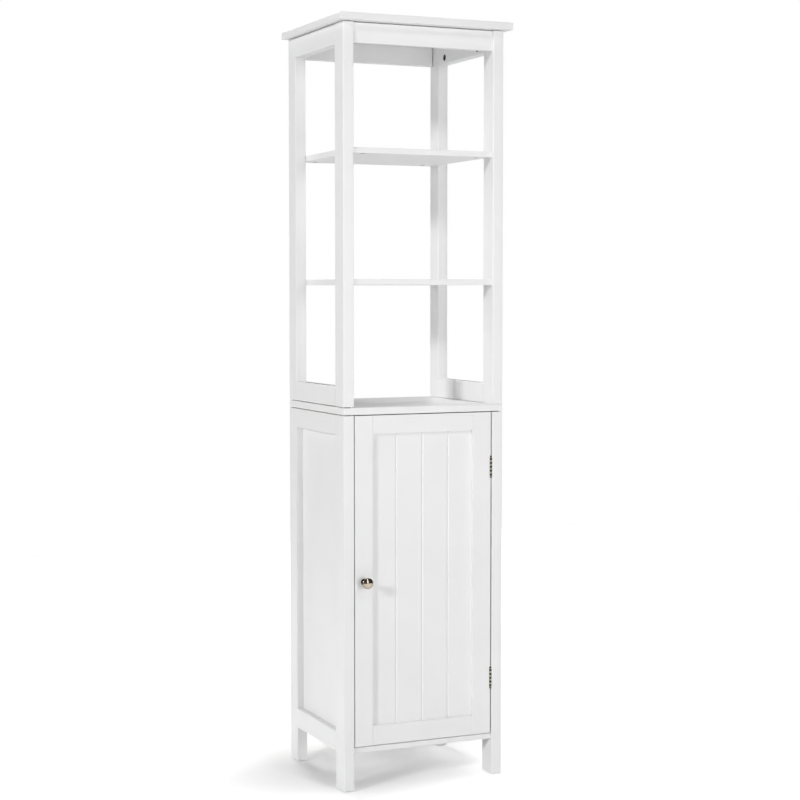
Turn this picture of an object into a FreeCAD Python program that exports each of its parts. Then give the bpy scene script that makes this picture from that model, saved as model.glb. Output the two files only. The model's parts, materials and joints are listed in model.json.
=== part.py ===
import FreeCAD, Part
import math
import os
from collections import defaultdict

Vector = FreeCAD.Vector

# A tall freestanding bathroom cabinet in painted board: an open unit with two shelves stands on a
# middle board, and under it a cupboard has one framed door. Millimetres. +X is right, -Y is the
# front and +Z is up. The floor is z = 0, and the origin is under the middle of the overall box.

# Carcass
body_width = 372.0
body_depth = 322.0
post_width = 24.0
front_post_depth = 47.0
rear_post_depth = 44.0
lower_height = 800.0
upper_post_height = 802.0
rail_height = 43.5
edge_round = 2.0

# Top board and middle board
top_thickness = 15.0
top_side_overhang = 14.0
top_front_overhang = 19.0
top_rear_overhang = 6.0
middle_board_thickness = 15.0
board_round = 1.5

# Aprons, shelves and bottom board
apron_thickness = 16.0
board_setback = 5.0
shelf_thickness = 12.0
upper_shelf_rise = 531.5
lower_shelf_rise = 257.5
bottom_rail_rise = 78.5
bottom_board_rise = 80.5
bottom_board_thickness = 12.0

# Side panels and back panel, held in grooves
side_panel_recess = 14.5
side_panel_thickness = 5.0
panel_groove_depth = 5.0
panel_clearance = 0.2
back_panel_thickness = 4.0
back_panel_inset = 8.0

# Shelf inside the cupboard, on four supports in bored rows
cupboard_shelf_rise = 340.0
cupboard_shelf_thickness = 12.0
cupboard_shelf_clearance = 1.0
cupboard_shelf_door_gap = 8.0
support_row_inset = 12.0
support_pin_diameter = 5.0
support_pin_depth = 9.0
support_plate_length = 9.0
support_plate_width = 7.0
support_plate_thickness = 2.5
support_hole_pitch = 32.0
support_hole_count = 5

# Door
door_thickness = 18.0
door_setback = 2.0
door_gap = 2.0
door_stile_width = 41.0
door_top_rail_width = 39.0
door_bottom_rail_width = 42.0
door_panel_recess = 8.0
door_panel_thickness = 6.0
door_groove_depth = 8.0
door_round = 1.0
plank_width = 61.6
plank_groove_width = 2.4
plank_groove_depth = 1.4

# Knob and its screw
knob_projection = 27.0
knob_base_diameter = 14.0
knob_base_thickness = 2.5
knob_neck_diameter = 8.5
knob_head_diameter = 23.6
knob_head_thickness = 11.0
knob_dome_height = 5.5
knob_screw_diameter = 4.0
knob_screw_reach = 10.0
knob_screw_head_diameter = 8.0
knob_screw_head_height = 2.6

# Butt hinges
hinge_length = 42.0
lower_hinge_inset = 122.0
upper_hinge_inset = 119.0
hinge_barrel_diameter = 4.6
hinge_barrel_clearance = 0.2
hinge_leaf_thickness = 1.2
hinge_leaf_width = 15.0
hinge_pin_diameter = 2.2
hinge_pin_clearance = 0.05
hinge_knuckle_count = 5
hinge_knuckle_gap = 0.4
hinge_tip_diameter = 4.2
hinge_tip_height = 3.0
hinge_screw_row_shares = (0.18, 0.5, 0.82)
hinge_screw_depth_share = 0.62

# Magnetic catch and its strike plate
catch_length = 40.0
catch_depth = 14.0
catch_height = 12.0
catch_offset = 34.0
catch_wall = 2.0
catch_magnet_thickness = 4.0
catch_plate_thickness = 1.5
catch_plate_proud = 0.6
catch_magnet_length_share = 0.5
catch_screw_share = 0.38
strike_length = 34.0
strike_height = 7.0
strike_thickness = 1.2
strike_gap = 0.3
strike_screw_share = 0.32

# Wood screws with countersunk heads
screw_diameter = 2.8
screw_head_diameter = 5.2
screw_head_height = 1.4
screw_length = 13.0
screw_tip_length = 3.0
catch_screw_length = 20.0
board_screw_diameter = 5.0
board_screw_head_diameter = 9.0
board_screw_head_height = 3.2
board_screw_length = 42.0
board_screw_shares = (0.32, 0.68)
back_screw_count = 3
bore_clearance = 0.05

# Dowels in the side frames
dowel_diameter = 8.0
dowel_length = 30.0
dowel_height_shares = (0.26, 0.74)
dowel_clearance = 0.1

# Cam locks and their bolts
cam_diameter = 15.0
cam_height = 9.5
cam_clearance = 0.1
cam_distance = 30.0
cam_bolt_level = 6.0
cam_post_inset = 32.0
cam_drive_length = 8.0
cam_drive_width = 1.6
cam_drive_depth = 1.5
bolt_head_diameter = 6.0
bolt_head_length = 3.0
bolt_neck_diameter = 3.4
bolt_shank_diameter = 6.0
bolt_thread_diameter = 5.0
bolt_thread_length = 11.0

# Glides under the legs
glide_diameter = 18.0
glide_height = 2.0
glide_round = 0.6

# One overrun serves every cut that has to break through a face
overrun = 2.0

# Places that follow from the sizes above
half_width = body_width / 2
inner_half = half_width - post_width
front_reach = max(top_front_overhang, knob_projection - door_setback)
front = (front_reach - top_rear_overhang - body_depth) / 2
rear = front + body_depth
front_post_y = (front, front + front_post_depth)
rear_post_y = (rear - rear_post_depth, rear)
rail_y = (front_post_y[1], rear_post_y[0])
post_middle_y = (sum(front_post_y) / 2, sum(rear_post_y) / 2)
support_row_y = (rail_y[0] - support_row_inset, rail_y[1] + support_row_inset)
middle_top = lower_height + middle_board_thickness
upper_top = middle_top + upper_post_height
overall_height = upper_top + top_thickness
bottom_board_top = bottom_board_rise + bottom_board_thickness
back_panel_y = (rear - back_panel_inset - back_panel_thickness, rear - back_panel_inset)
side_panel_z = (bottom_rail_rise + rail_height, lower_height - rail_height)

hinge_gap = hinge_barrel_diameter + 2 * hinge_barrel_clearance
door_x = (-inner_half + door_gap, inner_half - hinge_gap)
door_y = (front + door_setback, front + door_setback + door_thickness)
door_z = (bottom_board_top + door_gap, lower_height - door_gap)
stile_edge_x = (door_x[0] + door_stile_width, door_x[1] - door_stile_width)
rail_edge_z = (door_z[0] + door_bottom_rail_width, door_z[1] - door_top_rail_width)
door_panel_y = (door_y[0] + door_panel_recess, door_y[0] + door_panel_recess + door_panel_thickness)
hinge_axis = (inner_half - hinge_gap / 2, door_y[0])
hinge_levels = {"lower": door_z[0] + lower_hinge_inset, "upper": door_z[1] - upper_hinge_inset}
knob_place = ((door_x[0] + stile_edge_x[0]) / 2, sum(door_z) / 2)

SIDES = {"left": -1, "right": 1}
X_AXIS = Vector(1, 0, 0)
Y_AXIS = Vector(0, 1, 0)
Z_AXIS = Vector(0, 0, 1)

# Boards and metal plates wait here for their bores, and small pieces are gathered in groups
blanks = {}
bores = defaultdict(list)
groups = defaultdict(list)


# Shapes
def span(first, second):
    return (min(first, second), max(first, second))


def block(x, y, z):
    size = [high - low for low, high in (x, y, z)]
    return Part.makeBox(*size, Vector(x[0], y[0], z[0]))


def rounded(shape, radius, *axes):
    def runs_along(edge):
        direction = edge.tangentAt(edge.FirstParameter)
        return any(abs(direction.dot(axis)) > math.cos(math.radians(1)) for axis in axes)
    return shape.makeFillet(radius, [edge for edge in shape.Edges if runs_along(edge)])


def turned(points):
    wire = Part.makePolygon([Vector(radius, 0, z) for radius, z in points + points[:1]])
    return Part.Face(wire).revolve(Vector(), Z_AXIS, 360)


def placed(shape, point, x_axis, z_axis):
    copy = shape.copy()
    turn = FreeCAD.Rotation(x_axis, z_axis.cross(x_axis), z_axis, "ZXY")
    copy.Placement = FreeCAD.Placement(point, turn)
    return copy


def single(shape):
    if len(shape.Solids) != 1:
        raise ValueError("a piece came out as %d solids" % len(shape.Solids))
    return shape.Solids[0]


def fasten(group, solid, cutter, point, x_axis, z_axis, nodes):
    groups[group].append(placed(solid, point, x_axis, z_axis))
    for node in nodes:
        bores[node].append(placed(cutter, point, x_axis, z_axis))


# Small hardware, each drawn with its axis on +Z
def countersunk_screw(diameter, head_diameter, head_height, length, extra=0.0):
    head = head_diameter / 2 + extra
    shank = diameter / 2 + extra
    end = length + extra
    tip = end - screw_tip_length
    return turned([(0, -extra), (head, -extra), (shank, head_height), (shank, tip), (0, end)])


def small_screw(extra=0.0):
    return countersunk_screw(screw_diameter, screw_head_diameter, screw_head_height, screw_length, extra)


def catch_screw(extra=0.0):
    return countersunk_screw(
        screw_diameter, screw_head_diameter, screw_head_height, catch_screw_length, extra)


def board_screw(extra=0.0):
    return countersunk_screw(
        board_screw_diameter, board_screw_head_diameter, board_screw_head_height, board_screw_length, extra)


def dowel(extra=0.0):
    length = dowel_length + 2 * extra
    return Part.makeCylinder(dowel_diameter / 2 + extra, length, Vector(0, 0, -length / 2))


def cam_lock():
    body = Part.makeCylinder(cam_diameter / 2, cam_height, Vector(0, 0, -cam_height))
    half_slot = bolt_head_diameter / 2 + cam_clearance
    slot_z = (-cam_height - overrun, half_slot - cam_bolt_level)
    slot = block((-cam_clearance, cam_diameter), (-half_slot, half_slot), slot_z)
    half_length = cam_drive_length / 2
    half_drive = cam_drive_width / 2
    drive_z = (-cam_drive_depth, overrun)
    drive = block((-half_length, half_length), (-half_drive, half_drive), drive_z)
    cross_drive = block((-half_drive, half_drive), (-half_length, half_length), drive_z)
    return single(body.cut([slot, drive, cross_drive]))


def cam_pocket():
    depth = cam_height + cam_clearance
    return Part.makeCylinder(cam_diameter / 2 + cam_clearance, depth + overrun, Vector(0, 0, -depth))


def bolt_rod(start, end, diameter):
    return Part.makeCylinder(diameter / 2, end - start, Vector(start, 0, -cam_bolt_level), X_AXIS)


def cam_bolt():
    thread_end = cam_distance + bolt_thread_length
    head = bolt_rod(0, bolt_head_length, bolt_head_diameter)
    neck = bolt_rod(bolt_head_length, cam_diameter / 2, bolt_neck_diameter)
    shank = bolt_rod(cam_diameter / 2, cam_distance, bolt_shank_diameter)
    thread = bolt_rod(cam_distance, thread_end, bolt_thread_diameter)
    return single(head.multiFuse([neck, shank, thread]).removeSplitter())


def bolt_bore():
    thread_end = cam_distance + bolt_thread_length + cam_clearance
    shank = bolt_rod(0, cam_distance, bolt_shank_diameter + 2 * cam_clearance)
    thread = bolt_rod(cam_distance, thread_end, bolt_thread_diameter + 2 * cam_clearance)
    return shank.fuse(thread)


def cam_joint(point, bolt_way, outward, housing, mate):
    fasten("cam_locks", cam_lock(), cam_pocket(), point, bolt_way, outward, [housing])
    fasten("cam_bolts", cam_bolt(), bolt_bore(), point, bolt_way, outward, [housing, mate])


# Side frames of the open unit and of the cupboard
def post_x(side):
    return span(side * inner_half, side * half_width)


def side_panel_x(side):
    outer = half_width - side_panel_recess
    return span(side * outer, side * (outer - side_panel_thickness))


def add_post(node, side, y, z):
    blanks[node] = rounded(block(post_x(side), y, z), edge_round, Z_AXIS)


def add_rail(node, side, low, front_post, rear_post):
    blanks[node] = rounded(block(post_x(side), rail_y, (low, low + rail_height)), edge_round, Y_AXIS)
    middle_x = side * (inner_half + post_width / 2)
    for end_y, post in zip(rail_y, (front_post, rear_post)):
        for share in dowel_height_shares:
            place = Vector(middle_x, end_y, low + share * rail_height)
            fasten("frame_dowels", dowel(), dowel(dowel_clearance), place, X_AXIS, Y_AXIS, [node, post])


def rail_cams(rail, side, mate, mate_z):
    way = Z_AXIS if rail.endswith("top_rail") else -Z_AXIS
    for y in (rail_y[0] + cam_post_inset, rail_y[1] - cam_post_inset):
        place = Vector(side * inner_half, y, mate_z - way.z * cam_distance)
        cam_joint(place, way, -side * X_AXIS, rail, mate)


def upper_side(name, side):
    front_post = "upper_%s_front_post" % name
    rear_post = "upper_%s_rear_post" % name
    top_rail = "upper_%s_top_rail" % name
    bottom_rail = "upper_%s_bottom_rail" % name
    add_post(front_post, side, front_post_y, (middle_top, upper_top))
    add_post(rear_post, side, rear_post_y, (middle_top, upper_top))
    add_rail(top_rail, side, upper_top - rail_height, front_post, rear_post)
    add_rail(bottom_rail, side, middle_top, front_post, rear_post)
    rail_cams(top_rail, side, "top_board", upper_top)
    for share in board_screw_shares:
        y = rail_y[0] + share * (rail_y[1] - rail_y[0])
        place = Vector(side * (inner_half + post_width / 2), y, lower_height)
        fasten("middle_board_screws", board_screw(), board_screw(bore_clearance), place, X_AXIS, Z_AXIS,
               ["middle_board", bottom_rail])


def lower_side(name, side):
    front_leg = "%s_front_leg" % name
    rear_leg = "%s_rear_leg" % name
    top_rail = "lower_%s_top_rail" % name
    bottom_rail = "lower_%s_bottom_rail" % name
    add_post(front_leg, side, front_post_y, (glide_height, lower_height))
    add_post(rear_leg, side, rear_post_y, (glide_height, lower_height))
    add_rail(top_rail, side, lower_height - rail_height, front_leg, rear_leg)
    add_rail(bottom_rail, side, bottom_rail_rise, front_leg, rear_leg)
    rail_cams(top_rail, side, "middle_board", lower_height)
    panel_x = side_panel_x(side)
    tongue = panel_groove_depth - panel_clearance
    panel_y = (rail_y[0] - tongue, rail_y[1] + tongue)
    panel_z = (side_panel_z[0] - tongue, side_panel_z[1] + tongue)
    blanks["%s_side_panel" % name] = block(panel_x, panel_y, panel_z)
    groove = block((panel_x[0] - panel_clearance, panel_x[1] + panel_clearance),
                   (rail_y[0] - panel_groove_depth, rail_y[1] + panel_groove_depth),
                   (side_panel_z[0] - panel_groove_depth, side_panel_z[1] + panel_groove_depth))
    for node in (front_leg, rear_leg, top_rail, bottom_rail):
        bores[node].append(groove)
    bores[rear_leg].append(back_panel_groove())
    for y in post_middle_y:
        place = Vector(side * (inner_half + post_width / 2), y, 0)
        groups["foot_glides"].append(placed(foot_glide(), place, X_AXIS, Z_AXIS))


def foot_glide():
    radius = glide_diameter / 2
    sole = radius - glide_round
    return turned([(0, 0), (sole, 0), (radius, glide_round), (radius, glide_height), (0, glide_height)])


# Boards across the cabinet
def cross_board(node, y, z, radius):
    blanks[node] = rounded(block((-inner_half, inner_half), y, z), radius, X_AXIS)


def end_cams(board, y, z, outward, mates):
    for side, mate in zip(SIDES.values(), mates):
        place = Vector(side * (inner_half - cam_distance), y, z)
        cam_joint(place, side * X_AXIS, outward, board, mate)


def open_shelf(node, rise):
    low = middle_top + rise
    cross_board(node, (front + board_setback, rear), (low, low + shelf_thickness), board_round)
    for y, place in zip(post_middle_y, ("front", "rear")):
        end_cams(node, y, low, -Z_AXIS, ["upper_%s_%s_post" % (name, place) for name in SIDES])


def apron(node, y, place):
    z = (upper_top - rail_height, upper_top)
    cross_board(node, y, z, board_round)
    end_cams(node, y[1], sum(z) / 2, Y_AXIS, ["upper_%s_%s_post" % (name, place) for name in SIDES])


def bottom_board():
    y = (front + board_setback, back_panel_y[0])
    cross_board("bottom_board", y, (bottom_board_rise, bottom_board_top), board_round)
    for cam_y, place in zip(post_middle_y, ("front", "rear")):
        legs = ["%s_%s_leg" % (name, place) for name in SIDES]
        end_cams("bottom_board", cam_y, bottom_board_rise, -Z_AXIS, legs)


def full_boards():
    top = block((-half_width - top_side_overhang, half_width + top_side_overhang),
                (front - top_front_overhang, rear + top_rear_overhang), (upper_top, overall_height))
    middle = block((-half_width, half_width), (front, rear), (lower_height, middle_top))
    blanks["top_board"] = rounded(top, board_round, X_AXIS, Y_AXIS, Z_AXIS)
    blanks["middle_board"] = rounded(middle, board_round, X_AXIS, Y_AXIS, Z_AXIS)


# Back panel and the loose shelf inside the cupboard
def back_panel_groove():
    half = inner_half + panel_groove_depth
    y = (back_panel_y[0] - panel_clearance, back_panel_y[1] + panel_clearance)
    return block((-half, half), y, (bottom_board_rise, lower_height + overrun))


def back_panel():
    half = inner_half + panel_groove_depth - panel_clearance
    z = (bottom_board_rise, lower_height - panel_clearance)
    blanks["back_panel"] = block((-half, half), back_panel_y, z)
    level = bottom_board_rise + bottom_board_thickness / 2
    pitch = 2 * inner_half / back_screw_count
    for index in range(back_screw_count):
        place = Vector(-inner_half + (index + 1 / 2) * pitch, back_panel_y[1], level)
        fasten("back_panel_screws", small_screw(), small_screw(bore_clearance), place, X_AXIS, -Y_AXIS,
               ["back_panel", "bottom_board"])


def shelf_support():
    radius = support_pin_diameter / 2
    pin = Part.makeCylinder(radius, support_pin_depth, Vector(0, 0, -support_pin_depth))
    half = support_plate_width / 2
    plate = block((radius - support_plate_thickness, radius), (-half, half), (0, support_plate_length))
    return single(pin.fuse(plate))


def support_hole():
    depth = support_pin_depth + bore_clearance
    return Part.makeCylinder(support_pin_diameter / 2 + bore_clearance, depth + overrun, Vector(0, 0, -depth))


def cupboard_shelf():
    low = bottom_board_top + cupboard_shelf_rise
    half = inner_half - cupboard_shelf_clearance
    y = (door_y[1] + cupboard_shelf_door_gap, back_panel_y[0] - cupboard_shelf_clearance)
    shelf = block((-half, half), y, (low, low + cupboard_shelf_thickness))
    blanks["cupboard_shelf"] = rounded(shelf, board_round, X_AXIS)
    pin_level = low - support_pin_diameter / 2
    for name, side in SIDES.items():
        for row_y, place in zip(support_row_y, ("front", "rear")):
            leg = "%s_%s_leg" % (name, place)
            point = Vector(side * inner_half, row_y, pin_level)
            groups["shelf_supports"].append(placed(shelf_support(), point, Z_AXIS, -side * X_AXIS))
            for index in range(support_hole_count):
                step = (index - (support_hole_count - 1) / 2) * support_hole_pitch
                bores[leg].append(placed(support_hole(), point + step * Z_AXIS, Z_AXIS, -side * X_AXIS))


# Door frame and planked panel
def door_frame():
    tongue_y = (door_panel_y[0] - panel_clearance, door_panel_y[1] + panel_clearance)
    tenon_x = (stile_edge_x[0] - door_groove_depth, stile_edge_x[1] + door_groove_depth)
    groove_z = (rail_edge_z[0] - door_groove_depth, rail_edge_z[1] + door_groove_depth)
    groove = block(tenon_x, tongue_y, groove_z)
    stiles = {"door_left_stile": (door_x[0], stile_edge_x[0]),
              "door_right_stile": (stile_edge_x[1], door_x[1])}
    rails = {"door_bottom_rail": (door_z[0], rail_edge_z[0]),
             "door_top_rail": (rail_edge_z[1], door_z[1])}
    for node, z in rails.items():
        rail = rounded(block(stile_edge_x, door_y, z), door_round, X_AXIS)
        tenon = block(tenon_x, door_panel_y, z)
        blanks[node] = single(rail.fuse(tenon).cut(groove))
        for stile in stiles:
            bores[stile].append(block(tenon_x, tongue_y, (z[0] - overrun, z[1] + overrun)))
    for node, x in stiles.items():
        blanks[node] = rounded(block(x, door_y, door_z), door_round, Z_AXIS)
        bores[node].append(groove)


def door_panel():
    tongue = door_groove_depth - panel_clearance
    x = (stile_edge_x[0] - tongue, stile_edge_x[1] + tongue)
    z = (rail_edge_z[0] - tongue, rail_edge_z[1] + tongue)
    blanks["door_panel"] = block(x, door_panel_y, z)
    half = plank_groove_width / 2
    face_y = door_panel_y[0]
    panel_middle = sum(stile_edge_x) / 2
    side_grooves = int((stile_edge_x[1] - panel_middle) / plank_width)
    for index in range(-side_grooves, side_grooves + 1):
        middle = panel_middle + index * plank_width
        corners = [Vector(middle - half, face_y, z[0]), Vector(middle + half, face_y, z[0]),
                   Vector(middle, face_y + plank_groove_depth, z[0])]
        section = Part.Face(Part.makePolygon(corners + corners[:1]))
        bores["door_panel"].append(section.extrude(Vector(0, 0, z[1] - z[0])))


# Knob on the left stile, with a machine screw from the back of the door
def knob():
    head = knob_head_diameter / 2
    neck = knob_neck_diameter / 2
    base = knob_base_diameter / 2
    under = knob_projection - knob_head_thickness
    rim = knob_projection - knob_dome_height
    sphere = (head ** 2 + knob_dome_height ** 2) / (2 * knob_dome_height)
    half_angle = math.asin(head / sphere) / 2
    crown_drop = sphere * (1 - math.cos(half_angle))
    crown = Vector(sphere * math.sin(half_angle), 0, knob_projection - crown_drop)
    quarter = math.cos(math.pi / 4)
    flare = Vector(neck + (head - neck) * quarter, 0, rim - (rim - under) * quarter)
    corners = [Vector(0, 0, 0), Vector(base, 0, 0), Vector(base, 0, knob_base_thickness),
               Vector(neck, 0, knob_base_thickness), Vector(neck, 0, under)]
    edges = [Part.makeLine(start, end) for start, end in zip(corners, corners[1:])]
    edges.append(Part.Arc(corners[-1], flare, Vector(head, 0, rim)).toShape())
    edges.append(Part.Arc(Vector(head, 0, rim), crown, Vector(0, 0, knob_projection)).toShape())
    edges.append(Part.makeLine(Vector(0, 0, knob_projection), corners[0]))
    body = Part.Face(Part.Wire(edges)).revolve(Vector(), Z_AXIS, 360)
    place = Vector(knob_place[0], door_y[0], knob_place[1])
    blanks["knob"] = placed(body, place, X_AXIS, -Y_AXIS)


def knob_screw_shape(extra=0.0):
    shank = knob_screw_diameter / 2 + extra
    head = knob_screw_head_diameter / 2
    tip = door_thickness + knob_screw_reach + extra
    return turned([(0, -knob_screw_head_height), (head, -knob_screw_head_height), (head, 0), (shank, 0),
                   (shank, tip), (0, tip)])


def knob_screw():
    place = Vector(knob_place[0], door_y[1], knob_place[1])
    fasten("knob_screw", knob_screw_shape(), knob_screw_shape(bore_clearance), place, X_AXIS, -Y_AXIS,
           ["knob", "door_left_stile"])


# Butt hinges: leaves with alternate knuckles, on a pin with rounded tips
def knuckle_spans(level):
    low = level - hinge_length / 2
    pitch = (hinge_length + hinge_knuckle_gap) / hinge_knuckle_count
    starts = [low + index * pitch for index in range(hinge_knuckle_count)]
    return [(start, start + pitch - hinge_knuckle_gap) for start in starts]


def barrel(radius, start, end):
    return Part.makeCylinder(radius, end - start, Vector(*hinge_axis, start))


def hinge_leaf(leaf_x, level, own_knuckles, other_knuckles):
    low = level - hinge_length / 2
    high = level + hinge_length / 2
    gap = hinge_knuckle_gap
    radius = hinge_barrel_diameter / 2
    notch = radius + hinge_barrel_clearance + gap
    plate = block(leaf_x, (hinge_axis[1], hinge_axis[1] + hinge_leaf_width), (low, high))
    notches = [barrel(notch, start - gap, end + gap) for start, end in other_knuckles]
    knuckles = [barrel(radius, start, end) for start, end in own_knuckles]
    bore = barrel(hinge_pin_diameter / 2 + hinge_pin_clearance, low - overrun, high + overrun)
    return single(plate.cut(notches).multiFuse(knuckles).cut(bore).removeSplitter())


def hinge_screws(group, leaf, wood, face_x, way, level):
    y = hinge_axis[1] + hinge_screw_depth_share * hinge_leaf_width
    for share in hinge_screw_row_shares:
        place = Vector(face_x, y, level + (share - 1 / 2) * hinge_length)
        fasten(group, small_screw(), small_screw(bore_clearance), place, Y_AXIS, way * X_AXIS, [leaf, wood])


def hinge_pin(level):
    radius = hinge_pin_diameter / 2
    tip = hinge_tip_diameter / 2
    half = hinge_length / 2
    dome = half + hinge_tip_height
    corner = (tip + radius) / 2
    shoulder = half + hinge_tip_height / 2
    side = [(radius, half), (tip, half), (tip, shoulder), (corner, dome), (0, dome)]
    mirrored = [(r, -z) for r, z in reversed(side)]
    return placed(turned(mirrored + side), Vector(*hinge_axis, level), X_AXIS, Z_AXIS)


def hinges():
    post_leaf_x = (inner_half - hinge_leaf_thickness, inner_half)
    door_leaf_x = (door_x[1], door_x[1] + hinge_leaf_thickness)
    for name, level in hinge_levels.items():
        spans = knuckle_spans(level)
        post_leaf = "%s_hinge_post_leaf" % name
        door_leaf = "%s_hinge_door_leaf" % name
        blanks[post_leaf] = hinge_leaf(post_leaf_x, level, spans[0::2], spans[1::2])
        blanks[door_leaf] = hinge_leaf(door_leaf_x, level, spans[1::2], spans[0::2])
        blanks["%s_hinge_pin" % name] = hinge_pin(level)
        hinge_screws("hinge_post_screws", post_leaf, "right_front_leg", post_leaf_x[0], 1, level)
        hinge_screws("hinge_door_screws", door_leaf, "door_right_stile", door_leaf_x[1], -1, level)


# Magnetic catch under the middle board, and the strike plate on the door
def catch():
    low = door_x[0] + catch_offset
    x = (low, low + catch_length)
    middle = sum(x) / 2
    strike_face = door_y[1] + strike_thickness
    housing_front = strike_face + strike_gap + catch_plate_proud
    y = (housing_front, housing_front + catch_depth)
    z = (lower_height - catch_height, lower_height)
    half = catch_length * catch_magnet_length_share / 2
    pocket_x = (middle - half, middle + half)
    stack = catch_magnet_thickness + 2 * catch_plate_thickness
    stack_low = sum(z) / 2 - stack / 2
    back = y[1] - catch_wall
    magnet_low = stack_low + catch_plate_thickness
    magnet_high = magnet_low + catch_magnet_thickness
    blanks["catch_housing"] = rounded(block(x, y, z), board_round, Z_AXIS)
    bores["catch_housing"].append(block(pocket_x, (y[0] - overrun, back), (stack_low, stack_low + stack)))
    blanks["catch_magnet"] = block(pocket_x, (y[0], back), (magnet_low, magnet_high))
    for level in (stack_low, magnet_high):
        plate_y = (y[0] - catch_plate_proud, back)
        groups["catch_pole_plates"].append(block(pocket_x, plate_y, (level, level + catch_plate_thickness)))
    for way in (-1, 1):
        place = Vector(middle + way * catch_screw_share * catch_length, sum(y) / 2, z[0])
        fasten("catch_screws", catch_screw(), catch_screw(bore_clearance), place, X_AXIS, Z_AXIS,
               ["catch_housing", "middle_board"])
    strike(middle, sum(z) / 2)


def strike(middle, level):
    half = strike_length / 2
    z = (level - strike_height / 2, level + strike_height / 2)
    plate = block((middle - half, middle + half), (door_y[1], door_y[1] + strike_thickness), z)
    blanks["strike_plate"] = plate
    for way in (-1, 1):
        place = Vector(middle + way * strike_screw_share * strike_length, door_y[1] + strike_thickness, level)
        fasten("strike_screws", small_screw(), small_screw(bore_clearance), place, X_AXIS, -Y_AXIS,
               ["strike_plate", "door_top_rail"])


# Assembly
def build():
    full_boards()
    for name, side in SIDES.items():
        upper_side(name, side)
        lower_side(name, side)
    apron("front_apron", (front + board_setback, front + board_setback + apron_thickness), "front")
    apron("rear_apron", (rear - apron_thickness, rear), "rear")
    open_shelf("upper_open_shelf", upper_shelf_rise)
    open_shelf("lower_open_shelf", lower_shelf_rise)
    bottom_board()
    back_panel()
    cupboard_shelf()
    door_frame()
    door_panel()
    knob()
    knob_screw()
    hinges()
    catch()


def export():
    os.makedirs("parts", exist_ok=True)
    for node, blank in blanks.items():
        piece = blank.cut(bores[node]) if bores[node] else blank
        single(piece).exportStep("parts/%s.step" % node)
    for node, solids in groups.items():
        Part.makeCompound(solids).exportStep("parts/%s.step" % node)


build()
export()
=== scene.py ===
import json
import math

import bmesh
import bpy
from bpy.props import FloatProperty, FloatVectorProperty, IntProperty, PointerProperty
from mathutils import Matrix, Vector


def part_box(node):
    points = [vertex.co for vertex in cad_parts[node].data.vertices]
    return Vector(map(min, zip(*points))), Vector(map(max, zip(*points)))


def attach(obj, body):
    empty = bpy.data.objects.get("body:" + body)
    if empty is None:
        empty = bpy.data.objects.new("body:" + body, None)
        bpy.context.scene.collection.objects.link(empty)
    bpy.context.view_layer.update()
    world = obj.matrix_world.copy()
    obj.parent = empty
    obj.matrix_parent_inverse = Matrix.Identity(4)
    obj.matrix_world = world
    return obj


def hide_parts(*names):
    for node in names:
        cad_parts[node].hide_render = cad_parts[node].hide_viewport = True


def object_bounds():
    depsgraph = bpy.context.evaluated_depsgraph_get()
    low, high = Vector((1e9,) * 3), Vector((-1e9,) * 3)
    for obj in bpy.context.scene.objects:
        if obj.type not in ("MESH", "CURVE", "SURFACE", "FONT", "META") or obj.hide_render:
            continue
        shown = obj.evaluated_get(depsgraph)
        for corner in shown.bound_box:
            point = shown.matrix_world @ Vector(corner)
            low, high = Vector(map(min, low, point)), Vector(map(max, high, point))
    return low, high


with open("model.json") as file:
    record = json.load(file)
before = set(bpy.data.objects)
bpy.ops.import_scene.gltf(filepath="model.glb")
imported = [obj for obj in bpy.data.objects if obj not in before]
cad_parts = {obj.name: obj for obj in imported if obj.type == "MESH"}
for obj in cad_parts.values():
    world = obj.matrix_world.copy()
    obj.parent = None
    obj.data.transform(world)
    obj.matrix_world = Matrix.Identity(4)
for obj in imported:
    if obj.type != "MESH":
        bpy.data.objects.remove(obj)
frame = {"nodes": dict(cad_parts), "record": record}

bl_info = {
    "name": "Bathroom cabinet",
    "version": (1, 0, 0),
    "blender": (4, 5, 0),
    "location": "3D View > Sidebar > Cabinet",
    "description": "Finishes a tall bathroom cabinet: painted boards, a planked door and metal fittings",
    "category": "Object",
}

# What the frame says: metres, +X right, -Y front, +Z up, floor at zero
CAD_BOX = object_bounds()
MM = 0.001
X, Y, Z = range(3)
AXIS_VECTORS = (Vector((1, 0, 0)), Vector((0, 1, 0)), Vector((0, 0, 1)))
BODIES = frame["record"]["behaviour"]["bodies"]
BODY_OF = {node: body for body, nodes in BODIES.items() for node in nodes}
SLOT_OF = {row["node"]: row["material_slot"] for row in frame["record"]["subparts"]}
SIDES = ("left", "right")
LEVELS = ("lower", "upper")
HINGE_AXIS = frame["record"]["behaviour"]["joints"][0]["pos_m"]

# Boards and rails that hold the cam locks
CAM_BOARDS = ("upper_open_shelf", "lower_open_shelf", "bottom_board", "front_apron", "rear_apron")
CAM_RAILS = ("upper_left_top_rail", "upper_right_top_rail",
             "lower_left_top_rail", "lower_right_top_rail")

# Shading, merging and cutting limits
SMOOTH_ANGLE = math.radians(35)
ALONG_LIMIT = math.cos(math.radians(1))
MERGE_DISTANCE = 0.001 * MM
FACE_DISTANCE = 0.01 * MM
CUT_OVERRUN = 1.0 * MM
SCREW_SLACK = 1.0 * MM
SEAM_INSET_SHARE = 0.35

# Facets across an eased end and a leaf's corner, and round bores, screws, hinges and cam locks
EASE_FACETS = 2
LEAF_CORNER_FACETS = 6
BORE_FACETS = 24
SCREW_FACETS = 32
HINGE_FACETS = 40
CAM_FACETS = 48

# Facets along each stretch of the knob's outline, a pin's tip and a round screw head
KNOB_FACETS = {"edge": 4, "cove": 10, "flare": 14, "rim": 10, "dome": 16}
TIP_FACETS = 15
PAN_FACETS = 8

# Degrees up the knob's rim at which its dome starts
RIM_END = 60

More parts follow.
